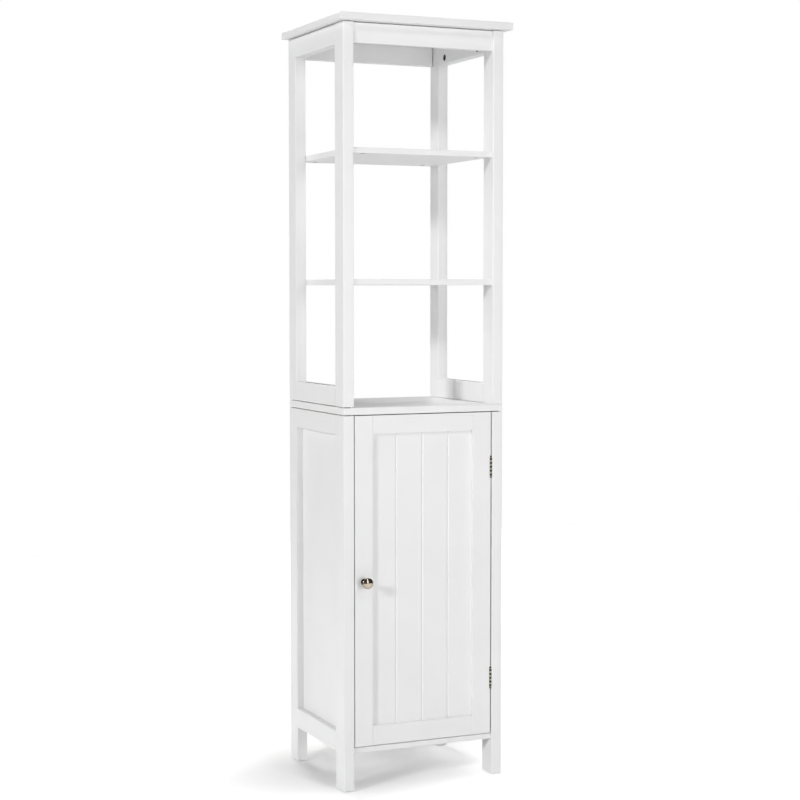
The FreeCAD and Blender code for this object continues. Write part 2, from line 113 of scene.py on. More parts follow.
# Hinges: the lean up or down from which a knuckle's face is rubbed pale and carries a painted highlight,
# the room round a knuckle in gaps, and the collar of a pin's tip in shares of the tip's height and radius
RUBBED_AND_HIGHLIGHT_LEAN = 0.1
NOTCH_GAPS = 1.5
COLLAR_HEIGHT = 0.15
COLLAR_RADIUS = 0.8

# A driver's cross, in shares of the radius of its head, and its floor in shares of its mouth
CROSS_LENGTH = 1.1
SCREW_CROSS_WIDTH = 0.26
CAM_CROSS_WIDTH = 0.24
CROSS_DEPTH = 0.4
CROSS_FLOOR = 0.6

# The way each screw is driven
SCREW_WAYS = {
    "hinge_post_screws": AXIS_VECTORS[X],
    "hinge_door_screws": -AXIS_VECTORS[X],
    "back_panel_screws": -AXIS_VECTORS[Y],
    "strike_screws": -AXIS_VECTORS[Y],
    "knob_screw": -AXIS_VECTORS[Y],
    "catch_screws": AXIS_VECTORS[Z],
    "middle_board_screws": AXIS_VECTORS[Z],
}


def linear(hex_code):
    """An sRGB hex colour as linear red, green and blue."""
    channels = [int(hex_code[start:start + 2], 16) / 255 for start in (1, 3, 5)]
    return [c / 12.92 if c <= 0.04045 else ((c + 0.055) / 1.055) ** 2.4 for c in channels]


# Settings that a user may change
def length_prop(name, description, millimetres):
    """A length, given in millimetres."""
    return FloatProperty(name=name, description=description, default=millimetres * MM, unit="LENGTH")


def angle_prop(name, description, degrees):
    """An angle, given in degrees."""
    return FloatProperty(
        name=name, description=description, default=math.radians(degrees), unit="ROTATION")


def angles_prop(name, description, degrees):
    """Two angles, given in degrees."""
    return FloatVectorProperty(
        name=name, description=description, default=[math.radians(angle) for angle in degrees],
        size=2, unit="ROTATION")


def number_prop(name, description, number):
    """A plain number."""
    return FloatProperty(name=name, description=description, default=number)


def colour_prop(name, description, hex_code):
    """A colour, given as an sRGB hex value."""
    return FloatVectorProperty(
        name=name, description=description, default=linear(hex_code), subtype="COLOR")


class BoardSettings(bpy.types.PropertyGroup):
    """Edges, seams and grooves of the painted boards, and the bores that show in them."""
    post_round: length_prop("Post rounding", "Radius along the posts, legs and rails", 2.0)
    board_round: length_prop(
        "Board rounding", "Radius along the edges of boards, shelves and aprons", 1.5)
    door_round: length_prop("Door rounding", "Radius along the door's stiles and rails", 1.0)
    end_ease: length_prop("End easing", "Small radius at the sawn ends, which draws the joint lines", 0.4)
    joint_ease: length_prop(
        "Joint easing", "Radius at the ends of the door's rails, which draws its joints", 0.9)
    middle_seam: FloatVectorProperty(
        name="Middle seams", size=3, unit="LENGTH", default=(1.7 * MM, 0.4 * MM, 1.7 * MM),
        description="Height of the open seams at the middle board: over it on the left and on the "
        "right, and under it")
    top_seam: length_prop("Top seam", "Height of the open seam under the top board", 1.4)
    apron_seam: length_prop("Apron seam", "Width of the open joints at the ends of the rear apron", 2.0)
    seam_depth: length_prop("Seam depth", "How far an open seam runs in", 6.0)
    hinge_gap: length_prop("Hinge gap", "Gap between the door and the leg on the hinge side", 2.6)
    round_segments: IntProperty(
        name="Segments", description="Facets across a rounded edge", default=4, min=1)
    tongue: length_prop("Panel tongue", "How far a panel runs into the frame round it", 3.0)
    plank_width: length_prop("Plank width", "Distance between the grooves of the door panel", 60.9)
    plank_shift: length_prop(
        "Plank shift", "How far the middle groove lies to the right of the panel's middle", 0.75)
    plank_groove_width: length_prop("Groove width", "Width of a groove between planks", 5.0)
    plank_groove_depth: length_prop("Groove depth", "Depth of a groove between planks", 2.2)
    cam_clearance: length_prop("Cam clearance", "Gap round a cam lock in its pocket", 0.1)
    support_hole_diameter: length_prop(
        "Support hole", "Diameter of the holes for the shelf supports", 5.1)
    support_hole_depth: length_prop(
        "Support hole depth", "Depth of the holes for the shelf supports", 9.0)
    support_hole_pitch: length_prop("Support hole pitch", "Distance between the holes of a row", 32.0)
    support_hole_count: IntProperty(
        name="Support holes", description="Holes in each row", default=5, min=1)


class FittingSettings(bpy.types.PropertyGroup):
    """Sizes of the knob, the hinges, the screws and the cam locks."""
    knob_base_diameter: length_prop("Knob base", "Diameter of the flange on the door", 14.0)
    knob_base_thickness: length_prop("Knob base thickness", "Thickness of the flange", 2.5)
    knob_neck_diameter: length_prop("Knob neck", "Diameter of the neck at its thinnest", 8.5)
    knob_rim_thickness: length_prop("Knob rim", "Thickness of the rounded rim of the head", 2.4)
    knob_dome_height: length_prop("Knob dome", "Rise of the dome over the rim", 4.6)
    turned_steps: IntProperty(
        name="Turned steps", description="Facets round a turned piece", default=64, min=12)
    hinge_leaf_thickness: length_prop("Hinge leaf", "Thickness of the hinge leaves", 1.2)
    hinge_leaf_corner: length_prop("Leaf corner", "Radius of the corners of a leaf", 2.5)
    hinge_knuckle_count: IntProperty(
        name="Knuckles", description="Knuckles of a hinge, both leaves together", default=5, min=3)
    hinge_knuckle_gap: length_prop("Knuckle gap", "Gap between two knuckles", 0.4)
    hinge_knuckle_ease: length_prop("Knuckle easing", "Radius at the ends of a knuckle", 1.4)
    hinge_pin_diameter: length_prop("Hinge pin", "Diameter of the pin in the knuckles", 2.2)
    hinge_tip_height: length_prop("Hinge tip", "Height of the bullet tips on the pin", 3.0)
    screw_shank_diameter: length_prop("Screw shank", "Diameter of the small screws' shanks", 2.8)
    board_screw_shank_diameter: length_prop(
        "Board screw shank", "Diameter of the shanks of the middle board's screws", 5.0)
    knob_screw_shank_diameter: length_prop("Knob screw shank", "Diameter of the knob screw's shank", 4.0)
    knob_screw_head_height: length_prop("Knob screw head", "Height of the knob screw's round head", 2.6)
    fit_clearance: length_prop("Fit clearance", "Gap between a fitting and its bore", 0.05)
    cam_rim_width: length_prop("Cam rim", "Width of the raised rim on a cam lock's face", 1.6)
    cam_dish: length_prop("Cam dish", "Depth of a cam lock's face under its board's face", 0.6)


class FinishSettings(bpy.types.PropertyGroup):
    """Colours of the finishes."""
    paint: colour_prop("Paint", "White satin paint", "#F2F2F2")
    paint_thin: colour_prop("Thin paint", "The paint where the spray lies thinner", "#EFEFEF")
    # Bare MDF in the seams, darker than fresh MDF: its own colour and also painted shade in the seams
    mdf: colour_prop("Bare MDF", "Unpainted board inside the seams", "#7C6D5A")
    mdf_fibre: colour_prop("MDF fibres", "Darker fibres of the unpainted board", "#665846")
    hardboard: colour_prop("Hardboard", "Primed rear of the back panel", "#DEDCD7")
    hardboard_thin: colour_prop("Thin primer", "The primer where the fibres show through", "#D2CEC5")
    beech: colour_prop("Beech", "Bare dowel wood", "#CFA578")
    beech_ray: colour_prop("Beech rays", "Darker flecks in the dowel wood", "#9C6F45")
    zinc: colour_prop("Cast zinc", "Cam locks and their bolts", "#3E3B39")
    zinc_worn: colour_prop("Worn zinc", "Cast zinc where it was tumbled bright", "#5C5856")
    steel: colour_prop("Plated steel", "Bright screws and plates", "#CDCED0")
    steel_clouded: colour_prop("Clouded steel", "Plated steel where the passivation is thick", "#B4B6BA")
    # Knob nickel: the pale colour is worn nickel and also a painted highlight on the face; the dark
    # colour is patina near the flange and painted shade at the rim
    nickel: colour_prop("Rubbed nickel", "Nickel of the knob where hands rub it", "#C8BAAA")
    nickel_patina_and_shade: colour_prop("Dark nickel", "Nickel of the knob where the bath left it dark", "#3A332B")
    brass_dark: colour_prop("Dark brass", "Darkened brass of the hinges", "#2B2924")
    brass_worn: colour_prop("Worn brass", "Hinge brass where it has been rubbed", "#4B4334")
    # Painted highlight: the bright brass is rubbed wear and also stands for the highlights on the
    # knuckles' ends
    brass_rubbed_and_highlight: colour_prop(
        "Bright brass", "Hinge brass where the knuckles rub each other bright", "#F0E8D4")
    brass_scuffed_highlight: colour_prop("Scuffed brass", "The bright brass between its scuffs", "#D8CFB8")
    white_plastic: colour_prop("White plastic", "Housing of the catch", "#EDEDEA")
    white_plastic_flow: colour_prop("Plastic flow", "Streaks in the white plastic", "#E5E5E1")
    grey_plastic: colour_prop("Grey plastic", "Glides under the legs", "#8F8F8C")
    grey_plastic_flow: colour_prop("Grey flow", "Streaks in the grey plastic", "#868683")
    ferrite: colour_prop("Ferrite", "Magnet of the catch", "#3A3A3D")
    ferrite_grain: colour_prop("Ferrite grain", "Paler grains in the magnet", "#4A4A4E")


class StageSettings(bpy.types.PropertyGroup):
    """Camera, lamps, even light and floor."""
    camera_place: FloatVectorProperty(
        name="Camera", description="Place of the camera", subtype="TRANSLATION", unit="LENGTH",
        default=(-1.60879, -3.64540, 1.05756))
    camera_turn: angle_prop("Turn", "How far the camera turns towards +X from straight ahead", 23.947)
    camera_tilt: angle_prop("Tilt", "How far the camera looks down", 3.4163)
    camera_focal_mm: number_prop("Lens", "Focal length in millimetres on a 36 mm sensor", 81.46)
    strip_aim: angles_prop(
        "Strip aim", "Turn and rise of the narrow softbox, which draws the knob's streak", (4, 12))
    strip_size: FloatVectorProperty(
        name="Strip size", description="Width and height of the narrow softbox",
        size=2, unit="LENGTH", default=(0.09, 1.5))
    strip_power: FloatProperty(
        name="Strip power", description="Power of the narrow softbox", default=3.0, unit="POWER")
    side_aim: angles_prop("Side aim", "Turn and rise of the softbox at the left front", (-50, 25))
    side_size: FloatVectorProperty(
        name="Side size", description="Width and height of the softbox at the left front",
        size=2, unit="LENGTH", default=(0.4, 0.6))
    side_power: FloatProperty(
        name="Side power", description="Power of the softbox at the left front",
        default=0.95, unit="POWER")
    lamp_distance: length_prop("Lamp distance", "Distance of the lamps from the cabinet's middle", 1250)
    ambient: FloatVectorProperty(
        name="Ambient", size=2, default=(0.57, 0.05),
        description="Strength of the studio's even light: from under the horizon, where its pale "
        "ground goes on, and from over it")
    ambient_edge: angle_prop(
        "Ambient edge", "How far over and under the horizon the even light changes", 3)
    backdrop_edge: angles_prop(
        "Backdrop edge", "Rises between which the white in reflections fades", (-10, -6))
    studio_dim: number_prop(
        "Studio over the backdrop", "Brightness of the studio that metal reflects", 0.06)
    floor_grey: colour_prop("Floor", "Pale floor", "#F3F3F3")
    floor_lift: FloatVectorProperty(
        name="Floor lift", size=2, default=(0.004, 0.549),
        description="Brightness that the seen floor adds under the cabinet and far from it")
    floor_shade_middle: FloatVectorProperty(
        name="Shade middle", description="Middle of the oval shade that the floor keeps",
        subtype="TRANSLATION", unit="LENGTH", default=(-0.064, 0.058, 0.0))
    floor_shade_size: FloatVectorProperty(
        name="Shade size", description="Half axes of the oval shade",
        subtype="XYZ_LENGTH", unit="LENGTH", default=(0.53, 0.38, 1.0))
    floor_shade_turn: angle_prop("Shade turn", "Turn of the oval shade from the cabinet's width", 26.5)
    floor_shade_start: FloatProperty(
        name="Shade start", description="Share of the way out at which the shade starts to fade",
        default=0.01, subtype="FACTOR")
    floor_size: length_prop("Floor size", "Side of the floor", 7000)


# Suns of the stage: place, turn and rise, spread, and strength in watts per square metre
SUNS = {
    "key": ("at the left front", (-64, 20), 7, 1.2),
    "front": ("ahead", (8, 6), 12, 0.72),
    "left": ("at the left rear", (-112, 10), 25, 0.68),
    "top": ("high on the right", (86, 62), 42, 0.9),
    "rear": ("behind the cabinet", (180, 25), 20, 1.5),
}


def sun_props(sun, place, aim, spread, strength):
    """The settings of one sun."""
    title = sun.capitalize()
    return {
        sun + "_aim": angles_prop(
            title + " aim", "Turn (minus is left) and rise of the lamp " + place, aim),
        sun + "_spread": angle_prop(
            title + " spread", "Angular size of the lamp %s, which softens its shadows" % place, spread),
        sun + "_strength": number_prop(
            title + " strength", "Watts per square metre of the lamp " + place, strength),
    }


for sun_name, sun_numbers in SUNS.items():
    StageSettings.__annotations__.update(sun_props(sun_name, *sun_numbers))


# Node materials: the span in which most of a noise lies, and the strength of a grain's relief
NOISE_RANGE = {"From Min": 0.3, "From Max": 0.7}
GRAIN_STRENGTH = 0.4


def add_node(tree, kind, inputs, **settings):
    """Adds a node with its settings, and links or sets its inputs."""
    node = tree.nodes.new(kind)
    for name, value in settings.items():
        setattr(node, name, value)
    for name, value in inputs.items():
        if isinstance(value, bpy.types.NodeSocket):
            tree.links.new(value, node.inputs[name])
        else:
            node.inputs[name].default_value = value
    return node


def rgba(colour):
    """A colour with full cover, as a node's socket takes it."""
    return (*colour, 1.0)


def new_material(name):
    """An empty node material and its tree."""
    material = bpy.data.materials.new(name)
    material.use_nodes = True
    material.node_tree.nodes.clear()
    return material, material.node_tree


def surfaced(material, tree, pattern, height, colours, roughness, relief, **constants):
    """Ends a material: a pattern shifts its colour and its gloss, and a height gives its relief.

    Colours and roughness each hold the two ends of the shift, and relief a depth and a strength.
    The constants go on the shader's own sockets.
    """
    share = add_node(tree, "ShaderNodeMapRange", {"Value": pattern, **NOISE_RANGE})
    colour = add_node(tree, "ShaderNodeMix", {
        "Factor": share.outputs["Result"], "A": rgba(colours[0]), "B": rgba(colours[1])},
        data_type="RGBA")
    gloss = add_node(tree, "ShaderNodeMapRange", {
        "Value": share.outputs["Result"], "To Min": roughness[0], "To Max": roughness[1]})
    skin = add_node(tree, "ShaderNodeBump", {
        "Height": height, "Distance": relief[0], "Strength": relief[1]})
    shader = add_node(tree, "ShaderNodeBsdfPrincipled", {
        "Base Color": colour.outputs["Result"], "Roughness": gloss.outputs["Result"],
        "Normal": skin.outputs["Normal"], **constants})
    add_node(tree, "ShaderNodeOutputMaterial", {"Surface": shader.outputs["BSDF"]})
    return material


def satin_paint(finish):
    """Sprayed satin paint on MDF: even white, a soft sheen that drifts, and a fine orange peel.

    The spray drifts over about 140 mm. The peel of such paint is about 1 mm wide, and is drawn
    2 mm wide, so that close views show it.
    """
    material, tree = new_material("satin_paint_on_mdf")
    place = add_node(tree, "ShaderNodeTexCoord", {}).outputs["Object"]
    drift = add_node(tree, "ShaderNodeTexNoise", {"Vector": place, "Scale": 1 / (140 * MM)})
    peel = add_node(tree, "ShaderNodeTexNoise", {"Vector": place, "Scale": 1 / (2 * MM), "Detail": 3.0})
    return surfaced(material, tree, drift.outputs["Fac"], peel.outputs["Fac"],
                    colours=(finish.paint, finish.paint_thin), roughness=(0.38, 0.48),
                    relief=(0.05 * MM, 0.25), IOR=1.5)


def primed_hardboard(finish):
    """Hardboard with a thin primer: dull, and its rear keeps the print of the pressing screen.

    Its fibres lie in tufts of about 9 mm. The screen's mesh is about 1 mm, and is drawn 2.5 mm
    wide, so that close views show it.
    """
    material, tree = new_material("primed_hardboard")
    place = add_node(tree, "ShaderNodeTexCoord", {}).outputs["Object"]
    upright = add_node(tree, "ShaderNodeMapping", {
        "Vector": place, "Rotation": (math.radians(90), 0, 0)})
    screen = add_node(tree, "ShaderNodeTexChecker", {
        "Vector": upright.outputs["Vector"], "Scale": 1 / (2.5 * MM)})
    fibre = add_node(tree, "ShaderNodeTexNoise", {
        "Vector": place, "Scale": 1 / (9 * MM), "Detail": 4.0})
    return surfaced(material, tree, fibre.outputs["Fac"], screen.outputs["Fac"],
                    colours=(finish.hardboard, finish.hardboard_thin), roughness=(0.62, 0.78),
                    relief=(0.08 * MM, 0.3), IOR=1.5)


def turned_nickel(finish):
    """Darkened nickel over turned metal: rings round the knob's axis draw each light out into a streak.

    It darkens from the face back: near the flange and the neck this is the bath's patina, and at the rim
    it is painted shade.
    The pale face is worn by handling and is also a painted highlight.
    Rings of about 0.1 mm are too fine to show, so they are drawn 0.5 mm apart.
    """
    material, tree = new_material("turned_dark_nickel")
    low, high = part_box("knob")
    axis = (low + high) / 2
    reach = high.y - low.y
    place = add_node(tree, "ShaderNodeTexCoord", {}).outputs["Object"]
    centred = add_node(tree, "ShaderNodeMapping", {
        "Vector": place, "Location": (-axis.x, 0, -axis.z), "Scale": (1, 0, 1)})
    radius = add_node(tree, "ShaderNodeVectorMath", {0: centred.outputs["Vector"]}, operation="LENGTH")
    rings = add_node(tree, "ShaderNodeTexNoise", {
        "W": radius.outputs["Value"], "Scale": 1 / (0.5 * MM), "Detail": 3.0}, noise_dimensions="1D")
    depth = add_node(tree, "ShaderNodeSeparateXYZ", {"Vector": place})
    # Painted shade and highlight: the knob is pale only at the front of its face, and dark towards the
    # rim and the flange
    rubbed = add_node(tree, "ShaderNodeMapRange", {
        "Value": depth.outputs["Y"], "From Min": low.y + 0.02 * reach, "From Max": low.y + 0.3 * reach,
        "To Min": 1.0, "To Max": 0.0})
    cover = add_node(tree, "ShaderNodeMapRange", {
        "Value": rings.outputs["Fac"], **NOISE_RANGE, "To Min": 0.8, "To Max": 1.0})
    share = add_node(tree, "ShaderNodeMath", {0: rubbed.outputs["Result"], 1: cover.outputs["Result"]},
                     operation="MULTIPLY")
    colour = add_node(tree, "ShaderNodeMix", {
        "Factor": share.outputs["Value"], "A": rgba(finish.nickel_patina_and_shade), "B": rgba(finish.nickel)},
        data_type="RGBA")
    gloss = add_node(tree, "ShaderNodeMapRange", {
        "Value": rings.outputs["Fac"], **NOISE_RANGE, "To Min": 0.12, "To Max": 0.20})
    lines = add_node(tree, "ShaderNodeBump", {
        "Height": rings.outputs["Fac"], "Distance": 0.02 * MM, "Strength": 0.3})
    turned_way = add_node(tree, "ShaderNodeTangent", {}, direction_type="RADIAL", axis="Y")
    shader = add_node(tree, "ShaderNodeBsdfPrincipled", {
        "Base Color": colour.outputs["Result"], "Metallic": 1.0, "Roughness": gloss.outputs["Result"],
        "Anisotropic": 0.75, "Anisotropic Rotation": 0.25, "Tangent": turned_way.outputs["Tangent"],
        "Normal": lines.outputs["Normal"]})
    add_node(tree, "ShaderNodeOutputMaterial", {"Surface": shader.outputs["BSDF"]})
    return material


def grained(name, colours, size, roughness, relief, stretch=(1, 1, 1), **constants):
    """A finish whose colour, gloss and relief follow one grain, with its size and relief in mm."""
    material, tree = new_material(name)
    place = add_node(tree, "ShaderNodeTexCoord", {}).outputs["Object"]
    stretched = add_node(tree, "ShaderNodeMapping", {"Vector": place, "Scale": stretch})
    grain = add_node(tree, "ShaderNodeTexNoise", {
        "Vector": stretched.outputs["Vector"], "Scale": 1 / (size * MM), "Detail": 4.0}).outputs["Fac"]
    return surfaced(material, tree, grain, grain, colours, roughness,
                    (relief * MM, GRAIN_STRENGTH), **constants)


def bare_beech(finish):
    """Bare beech: pale brown with short dark ray flecks along the grain."""
    return grained("bare_beech", (finish.beech, finish.beech_ray), size=1.2,
                   roughness=(0.60, 0.75), relief=0.05, stretch=(1, 0.15, 1), IOR=1.5)


def bare_mdf(finish):
    """Sawn MDF without paint in the seams: dull brown and felted, and darker than fresh MDF, so that it
    also paints the seam's shade as a dark line.
    """
    return grained("bare_mdf", (finish.mdf, finish.mdf_fibre), size=1.0,
                   roughness=(0.75, 0.90), relief=0.05, IOR=1.5)


def cast_zinc(finish):
    """Die-cast zinc, tumbled and left dull: dark grey with a pitted, mottled skin."""
    return grained("die_cast_zinc", (finish.zinc, finish.zinc_worn), size=0.8,
                   roughness=(0.42, 0.62), relief=0.06, Metallic=1.0)


def plated_steel(finish):
    """Zinc-plated steel: bright and slightly clouded by the passivation."""
    return grained("zinc_plated_steel", (finish.steel, finish.steel_clouded), size=1.5,
                   roughness=(0.24, 0.38), relief=0.02, Metallic=1.0)


def antique_brass(finish):
    """Brass darkened in a bath: nearly black, and browner where it has been rubbed."""
    return grained("antique_brass", (finish.brass_dark, finish.brass_worn), size=2.2,
                   roughness=(0.34, 0.52), relief=0.03, Metallic=1.0)


def rubbed_brass(finish):
    """The hinge brass at the ends of the knuckles, which rub each other pale and smoother; its near-white
    colour is also a painted highlight.
    """
    return grained("rubbed_brass", (finish.brass_rubbed_and_highlight, finish.brass_scuffed_highlight), size=2.2,
                   roughness=(0.28, 0.42), relief=0.03, Metallic=1.0)


def white_plastic(finish):
    """Moulded white ABS: a soft gloss over a fine tool texture."""
    return grained("moulded_white_abs", (finish.white_plastic, finish.white_plastic_flow), size=0.7,
                   roughness=(0.38, 0.50), relief=0.03, IOR=1.53)


def grey_plastic(finish):
    """Moulded grey nylon: dull and a little waxy."""
    return grained("moulded_grey_nylon", (finish.grey_plastic, finish.grey_plastic_flow), size=0.7,
                   roughness=(0.50, 0.62), relief=0.03, IOR=1.53)


def sintered_ferrite(finish):
    """Sintered ferrite: a dark grey ceramic with a dry, grainy face."""
    return grained("sintered_ferrite", (finish.ferrite, finish.ferrite_grain), size=0.4,
                   roughness=(0.55, 0.75), relief=0.03, IOR=1.8)


FINISHES = {
    "painted_board": satin_paint,
    "bare_mdf": bare_mdf,
    "back_hardboard": primed_hardboard,
    "beech": bare_beech,
    "zinc": cast_zinc,
    "plated_steel": plated_steel,
    "brushed_nickel": turned_nickel,
    "antique_brass": antique_brass,
    "rubbed_brass": rubbed_brass,
    "white_plastic": white_plastic,
    "grey_plastic": grey_plastic,
    "ferrite": sintered_ferrite,
}
made_finishes = {}


def finish_of(slot):
    """The material for a slot of the record, for bare board with painted seam shade or for rubbed brass
    with a painted highlight, made once.
    """
    if slot not in made_finishes:
        made_finishes[slot] = FINISHES[slot](bpy.context.scene.cabinet_finishes)
    return made_finishes[slot]


# Shapes
def block(low, high):
    """A box between two corners."""
    shape = bmesh.new()
    place = Matrix.Translation((low + high) / 2) @ Matrix.Diagonal((*(high - low), 1))
    bmesh.ops.create_cube(shape, size=1, matrix=place)
    return shape


def soften(shape, edges, radius, segments):
    """Rounds the edges given."""
    bmesh.ops.bevel(shape, geom=edges, offset=radius, offset_type="OFFSET", segments=segments,
                    profile=0.5, affect="EDGES", material=-1)


def edges_along(shape, axis):
    """The edges that run along an axis."""
    def runs_along(edge):
        way = (edge.verts[1].co - edge.verts[0].co).normalized()
        return abs(way[axis]) > ALONG_LIMIT
    return [edge for edge in shape.edges if runs_along(edge)]


def end_edges(shape, axis):
    """The edges round both ends of a shape that lies along an axis."""
    places = [vert.co[axis] for vert in shape.verts]
    def at_an_end(edge):
        return any(all(abs(vert.co[axis] - end) < FACE_DISTANCE for vert in edge.verts)
                   for end in (min(places), max(places)))
    return [edge for edge in shape.edges if at_an_end(edge)]


def sawn(low, high, axis, radius, ease):
    """A length of board: rounded along its axis, with its sawn ends eased."""
    boards = bpy.context.scene.cabinet_boards
    shape = block(low, high)
    soften(shape, edges_along(shape, axis), radius, boards.round_segments)
    soften(shape, end_edges(shape, axis), ease, EASE_FACETS)
    return shape


def seams_of(node):
    """Where a piece stands a little off the board it meets: an axis, the end along it and the gap."""
    boards = bpy.context.scene.cabinet_boards
    low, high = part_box(node)
    middle_low, middle_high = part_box("middle_board")
    seams = []
    if node == "rear_apron":
        seams += [(X, -1, boards.apron_seam), (X, 1, boards.apron_seam)]
    if abs(high.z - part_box("top_board")[0].z) < FACE_DISTANCE:
        seams.append((Z, 1, boards.top_seam))
    if abs(high.z - middle_low.z) < FACE_DISTANCE:
        seams.append((Z, 1, boards.middle_seam[2]))
    if abs(low.z - middle_high.z) < FACE_DISTANCE:
        seams.append((Z, -1, boards.middle_seam[0 if low.x < 0 else 1]))
    return seams


def step_back(low, high, axis, end, gap):
    """Moves one end of a box back, and returns the narrower stub that still fills the gap."""
    depth = bpy.context.scene.cabinet_boards.seam_depth
    stub_low, stub_high = low.copy(), high.copy()
    for across in {X, Y, Z} - {axis}:
        inset = min(depth, SEAM_INSET_SHARE * (high[across] - low[across]))
        stub_low[across] += inset
        stub_high[across] -= inset
    if end > 0:
        high[axis] -= gap
        stub_low[axis] = high[axis] - gap
    else:
        low[axis] += gap
        stub_high[axis] = low[axis] + gap
    stub = block(stub_low, stub_high)
    # The stub's faces take the second material, bare MDF dark enough to paint the shade in the seam
    for face in stub.faces:
        face.material_index = 1
    return stub


def rod(start, end, radius, steps):
    """A cylinder between two points."""
    shape = bmesh.new()
    way = end - start
    bmesh.ops.create_cone(shape, cap_ends=True, segments=steps, radius1=radius, radius2=radius,
                          depth=way.length, matrix=aimed((start + end) / 2, way))
    return shape


def turned(profile, place, way, steps):
    """A lathe shape: (radius, height) points spun round an axis from a place along a way."""
    shape = bmesh.new()
    verts = [shape.verts.new((radius, 0, height)) for radius, height in profile]
    edges = [shape.edges.new(pair) for pair in zip(verts, verts[1:])]
    bmesh.ops.spin(shape, geom=verts + edges, cent=(0, 0, 0), axis=AXIS_VECTORS[Z], dvec=(0, 0, 0),
                   angle=math.tau, steps=steps, use_merge=True)
    bmesh.ops.remove_doubles(shape, verts=shape.verts, dist=MERGE_DISTANCE)
    bmesh.ops.recalc_face_normals(shape, faces=shape.faces)
    bmesh.ops.transform(shape, matrix=aimed(place, way), verts=shape.verts)
    return shape


def arc(middle, radius, start, end, steps):
    """Points of a round stretch of a profile, by angles in degrees from +radius towards +height."""
    angles = [math.radians(start + (end - start) * step / steps) for step in range(steps + 1)]
    return [(middle[0] + radius * math.cos(angle), middle[1] + radius * math.sin(angle))
            for angle in angles]


def to_mesh(shape, name):
    """Ends a bmesh in a mesh."""
    mesh = bpy.data.meshes.new(name)
    shape.to_mesh(mesh)
    shape.free()
    return mesh


def joined(shapes):
    """Several shapes in one bmesh."""
    whole = bmesh.new()
    for shape in shapes:
        part = to_mesh(shape, "part")
        whole.from_mesh(part)
        bpy.data.meshes.remove(part)
    return whole


def carved(mesh, tools, operation="DIFFERENCE"):
    """The mesh with the tools' solids taken out of it, or joined to it."""
    scene = bpy.context.scene
    blank = bpy.data.objects.new("blank", mesh)
    tool = bpy.data.objects.new("tool", to_mesh(joined(tools), "tool"))
    for helper in (blank, tool):
        scene.collection.objects.link(helper)
    cut = blank.modifiers.new("carve", "BOOLEAN")
    cut.object = tool
    cut.operation = operation
    cut.solver = "EXACT"
    result = bpy.data.meshes.new_from_object(blank.evaluated_get(bpy.context.evaluated_depsgraph_get()))
    for helper in (blank, tool):
        data = helper.data
        bpy.data.objects.remove(helper)
        bpy.data.meshes.remove(data)
    return result


def repeated(mesh, name, matrices):
    """One mesh with a copy of another at each matrix."""
    whole = bmesh.new()
    for matrix in matrices:
        old = set(whole.verts)
        whole.from_mesh(mesh)
        new = [vert for vert in whole.verts if vert not in old]
        bmesh.ops.transform(whole, matrix=matrix, verts=new)
    bpy.data.meshes.remove(mesh)
    return to_mesh(whole, name)


def aimed(place, way):
    """A matrix that takes +Z to a way, at a place."""
    return Matrix.Translation(place) @ AXIS_VECTORS[Z].rotation_difference(way).to_matrix().to_4x4()


def spanned(points):
    """The low and high corner of the box round some points."""
    return [Vector([pick(point[axis] for point in points) for axis in (X, Y, Z)]) for pick in (min, max)]


def thin_axis(size):
    """The axis along which a size is least."""
    return min((X, Y, Z), key=lambda axis: size[axis])


def solids_in(node):
    """The box of each separate solid in a CAD node, from a merged copy of its mesh."""
    shape = bmesh.new()
    shape.from_mesh(frame["nodes"][node].data)
    bmesh.ops.remove_doubles(shape, verts=shape.verts, dist=MERGE_DISTANCE)
    waiting = set(shape.verts)
    boxes = []
    while waiting:
        front = [waiting.pop()]
        solid = []
        while front:
            vert = front.pop()
            solid.append(vert.co.copy())
            linked = {edge.other_vert(vert) for edge in vert.link_edges} & waiting
            waiting -= linked
            front.extend(linked)
        boxes.append(spanned(solid))
    shape.free()
    return sorted(boxes, key=lambda box: tuple(box[0]))


def within(inner, outer):
    """Whether the middle of one box lies in another."""
    middle = (inner[0] + inner[1]) / 2
    return all(outer[0][axis] <= middle[axis] <= outer[1][axis] for axis in (X, Y, Z))


# Pieces
def add_piece(name, mesh, *nodes, even_shading=True):
    """Shows a finished mesh in place of CAD nodes, on their body and with their finish."""
    piece = bpy.data.objects.new(name, mesh)
    bpy.context.scene.collection.objects.link(piece)
    if not mesh.materials:
        mesh.materials.append(finish_of(SLOT_OF[nodes[0]]))
    mesh.shade_smooth()
    mesh.set_sharp_from_angle(angle=SMOOTH_ANGLE)
    if even_shading:
        shading = piece.modifiers.new("even_shading", "WEIGHTED_NORMAL")
        shading.keep_sharp = True
    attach(piece, BODY_OF[nodes[0]])
    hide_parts(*nodes)


def cam_pockets(node):
    """Cutters for the cam locks that sit in a board."""
    boards = bpy.context.scene.cabinet_boards
    cutters = []
    for low, high in solids_in("cam_locks"):
        if not within((low, high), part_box(node)):
            continue
        size = high - low
        axis = thin_axis(size)
        across = max(size) / 2 + boards.cam_clearance
        overrun = AXIS_VECTORS[axis] * boards.cam_clearance
        middle = (low + high) / 2
        half = AXIS_VECTORS[axis] * size[axis] / 2
        cutters.append(rod(middle - half - overrun, middle + half + overrun, across, CAM_FACETS))
    return cutters


def board_piece(node, axis, radius, ease, cutters=()):
    """A painted board in place of its CAD node."""
    low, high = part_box(node)
    stubs = [step_back(low, high, *seam) for seam in seams_of(node)]
    mesh = to_mesh(sawn(low, high, axis, radius, ease), node)
    mesh.materials.append(finish_of(SLOT_OF[node]))
    if stubs:
        # Bare MDF on the stubs, which also paints the shade in the seams
        mesh.materials.append(finish_of("bare_mdf"))
        mesh = carved(mesh, stubs, "UNION")
    if cutters:
        mesh = carved(mesh, cutters)
    add_piece("painted_" + node, mesh, node)


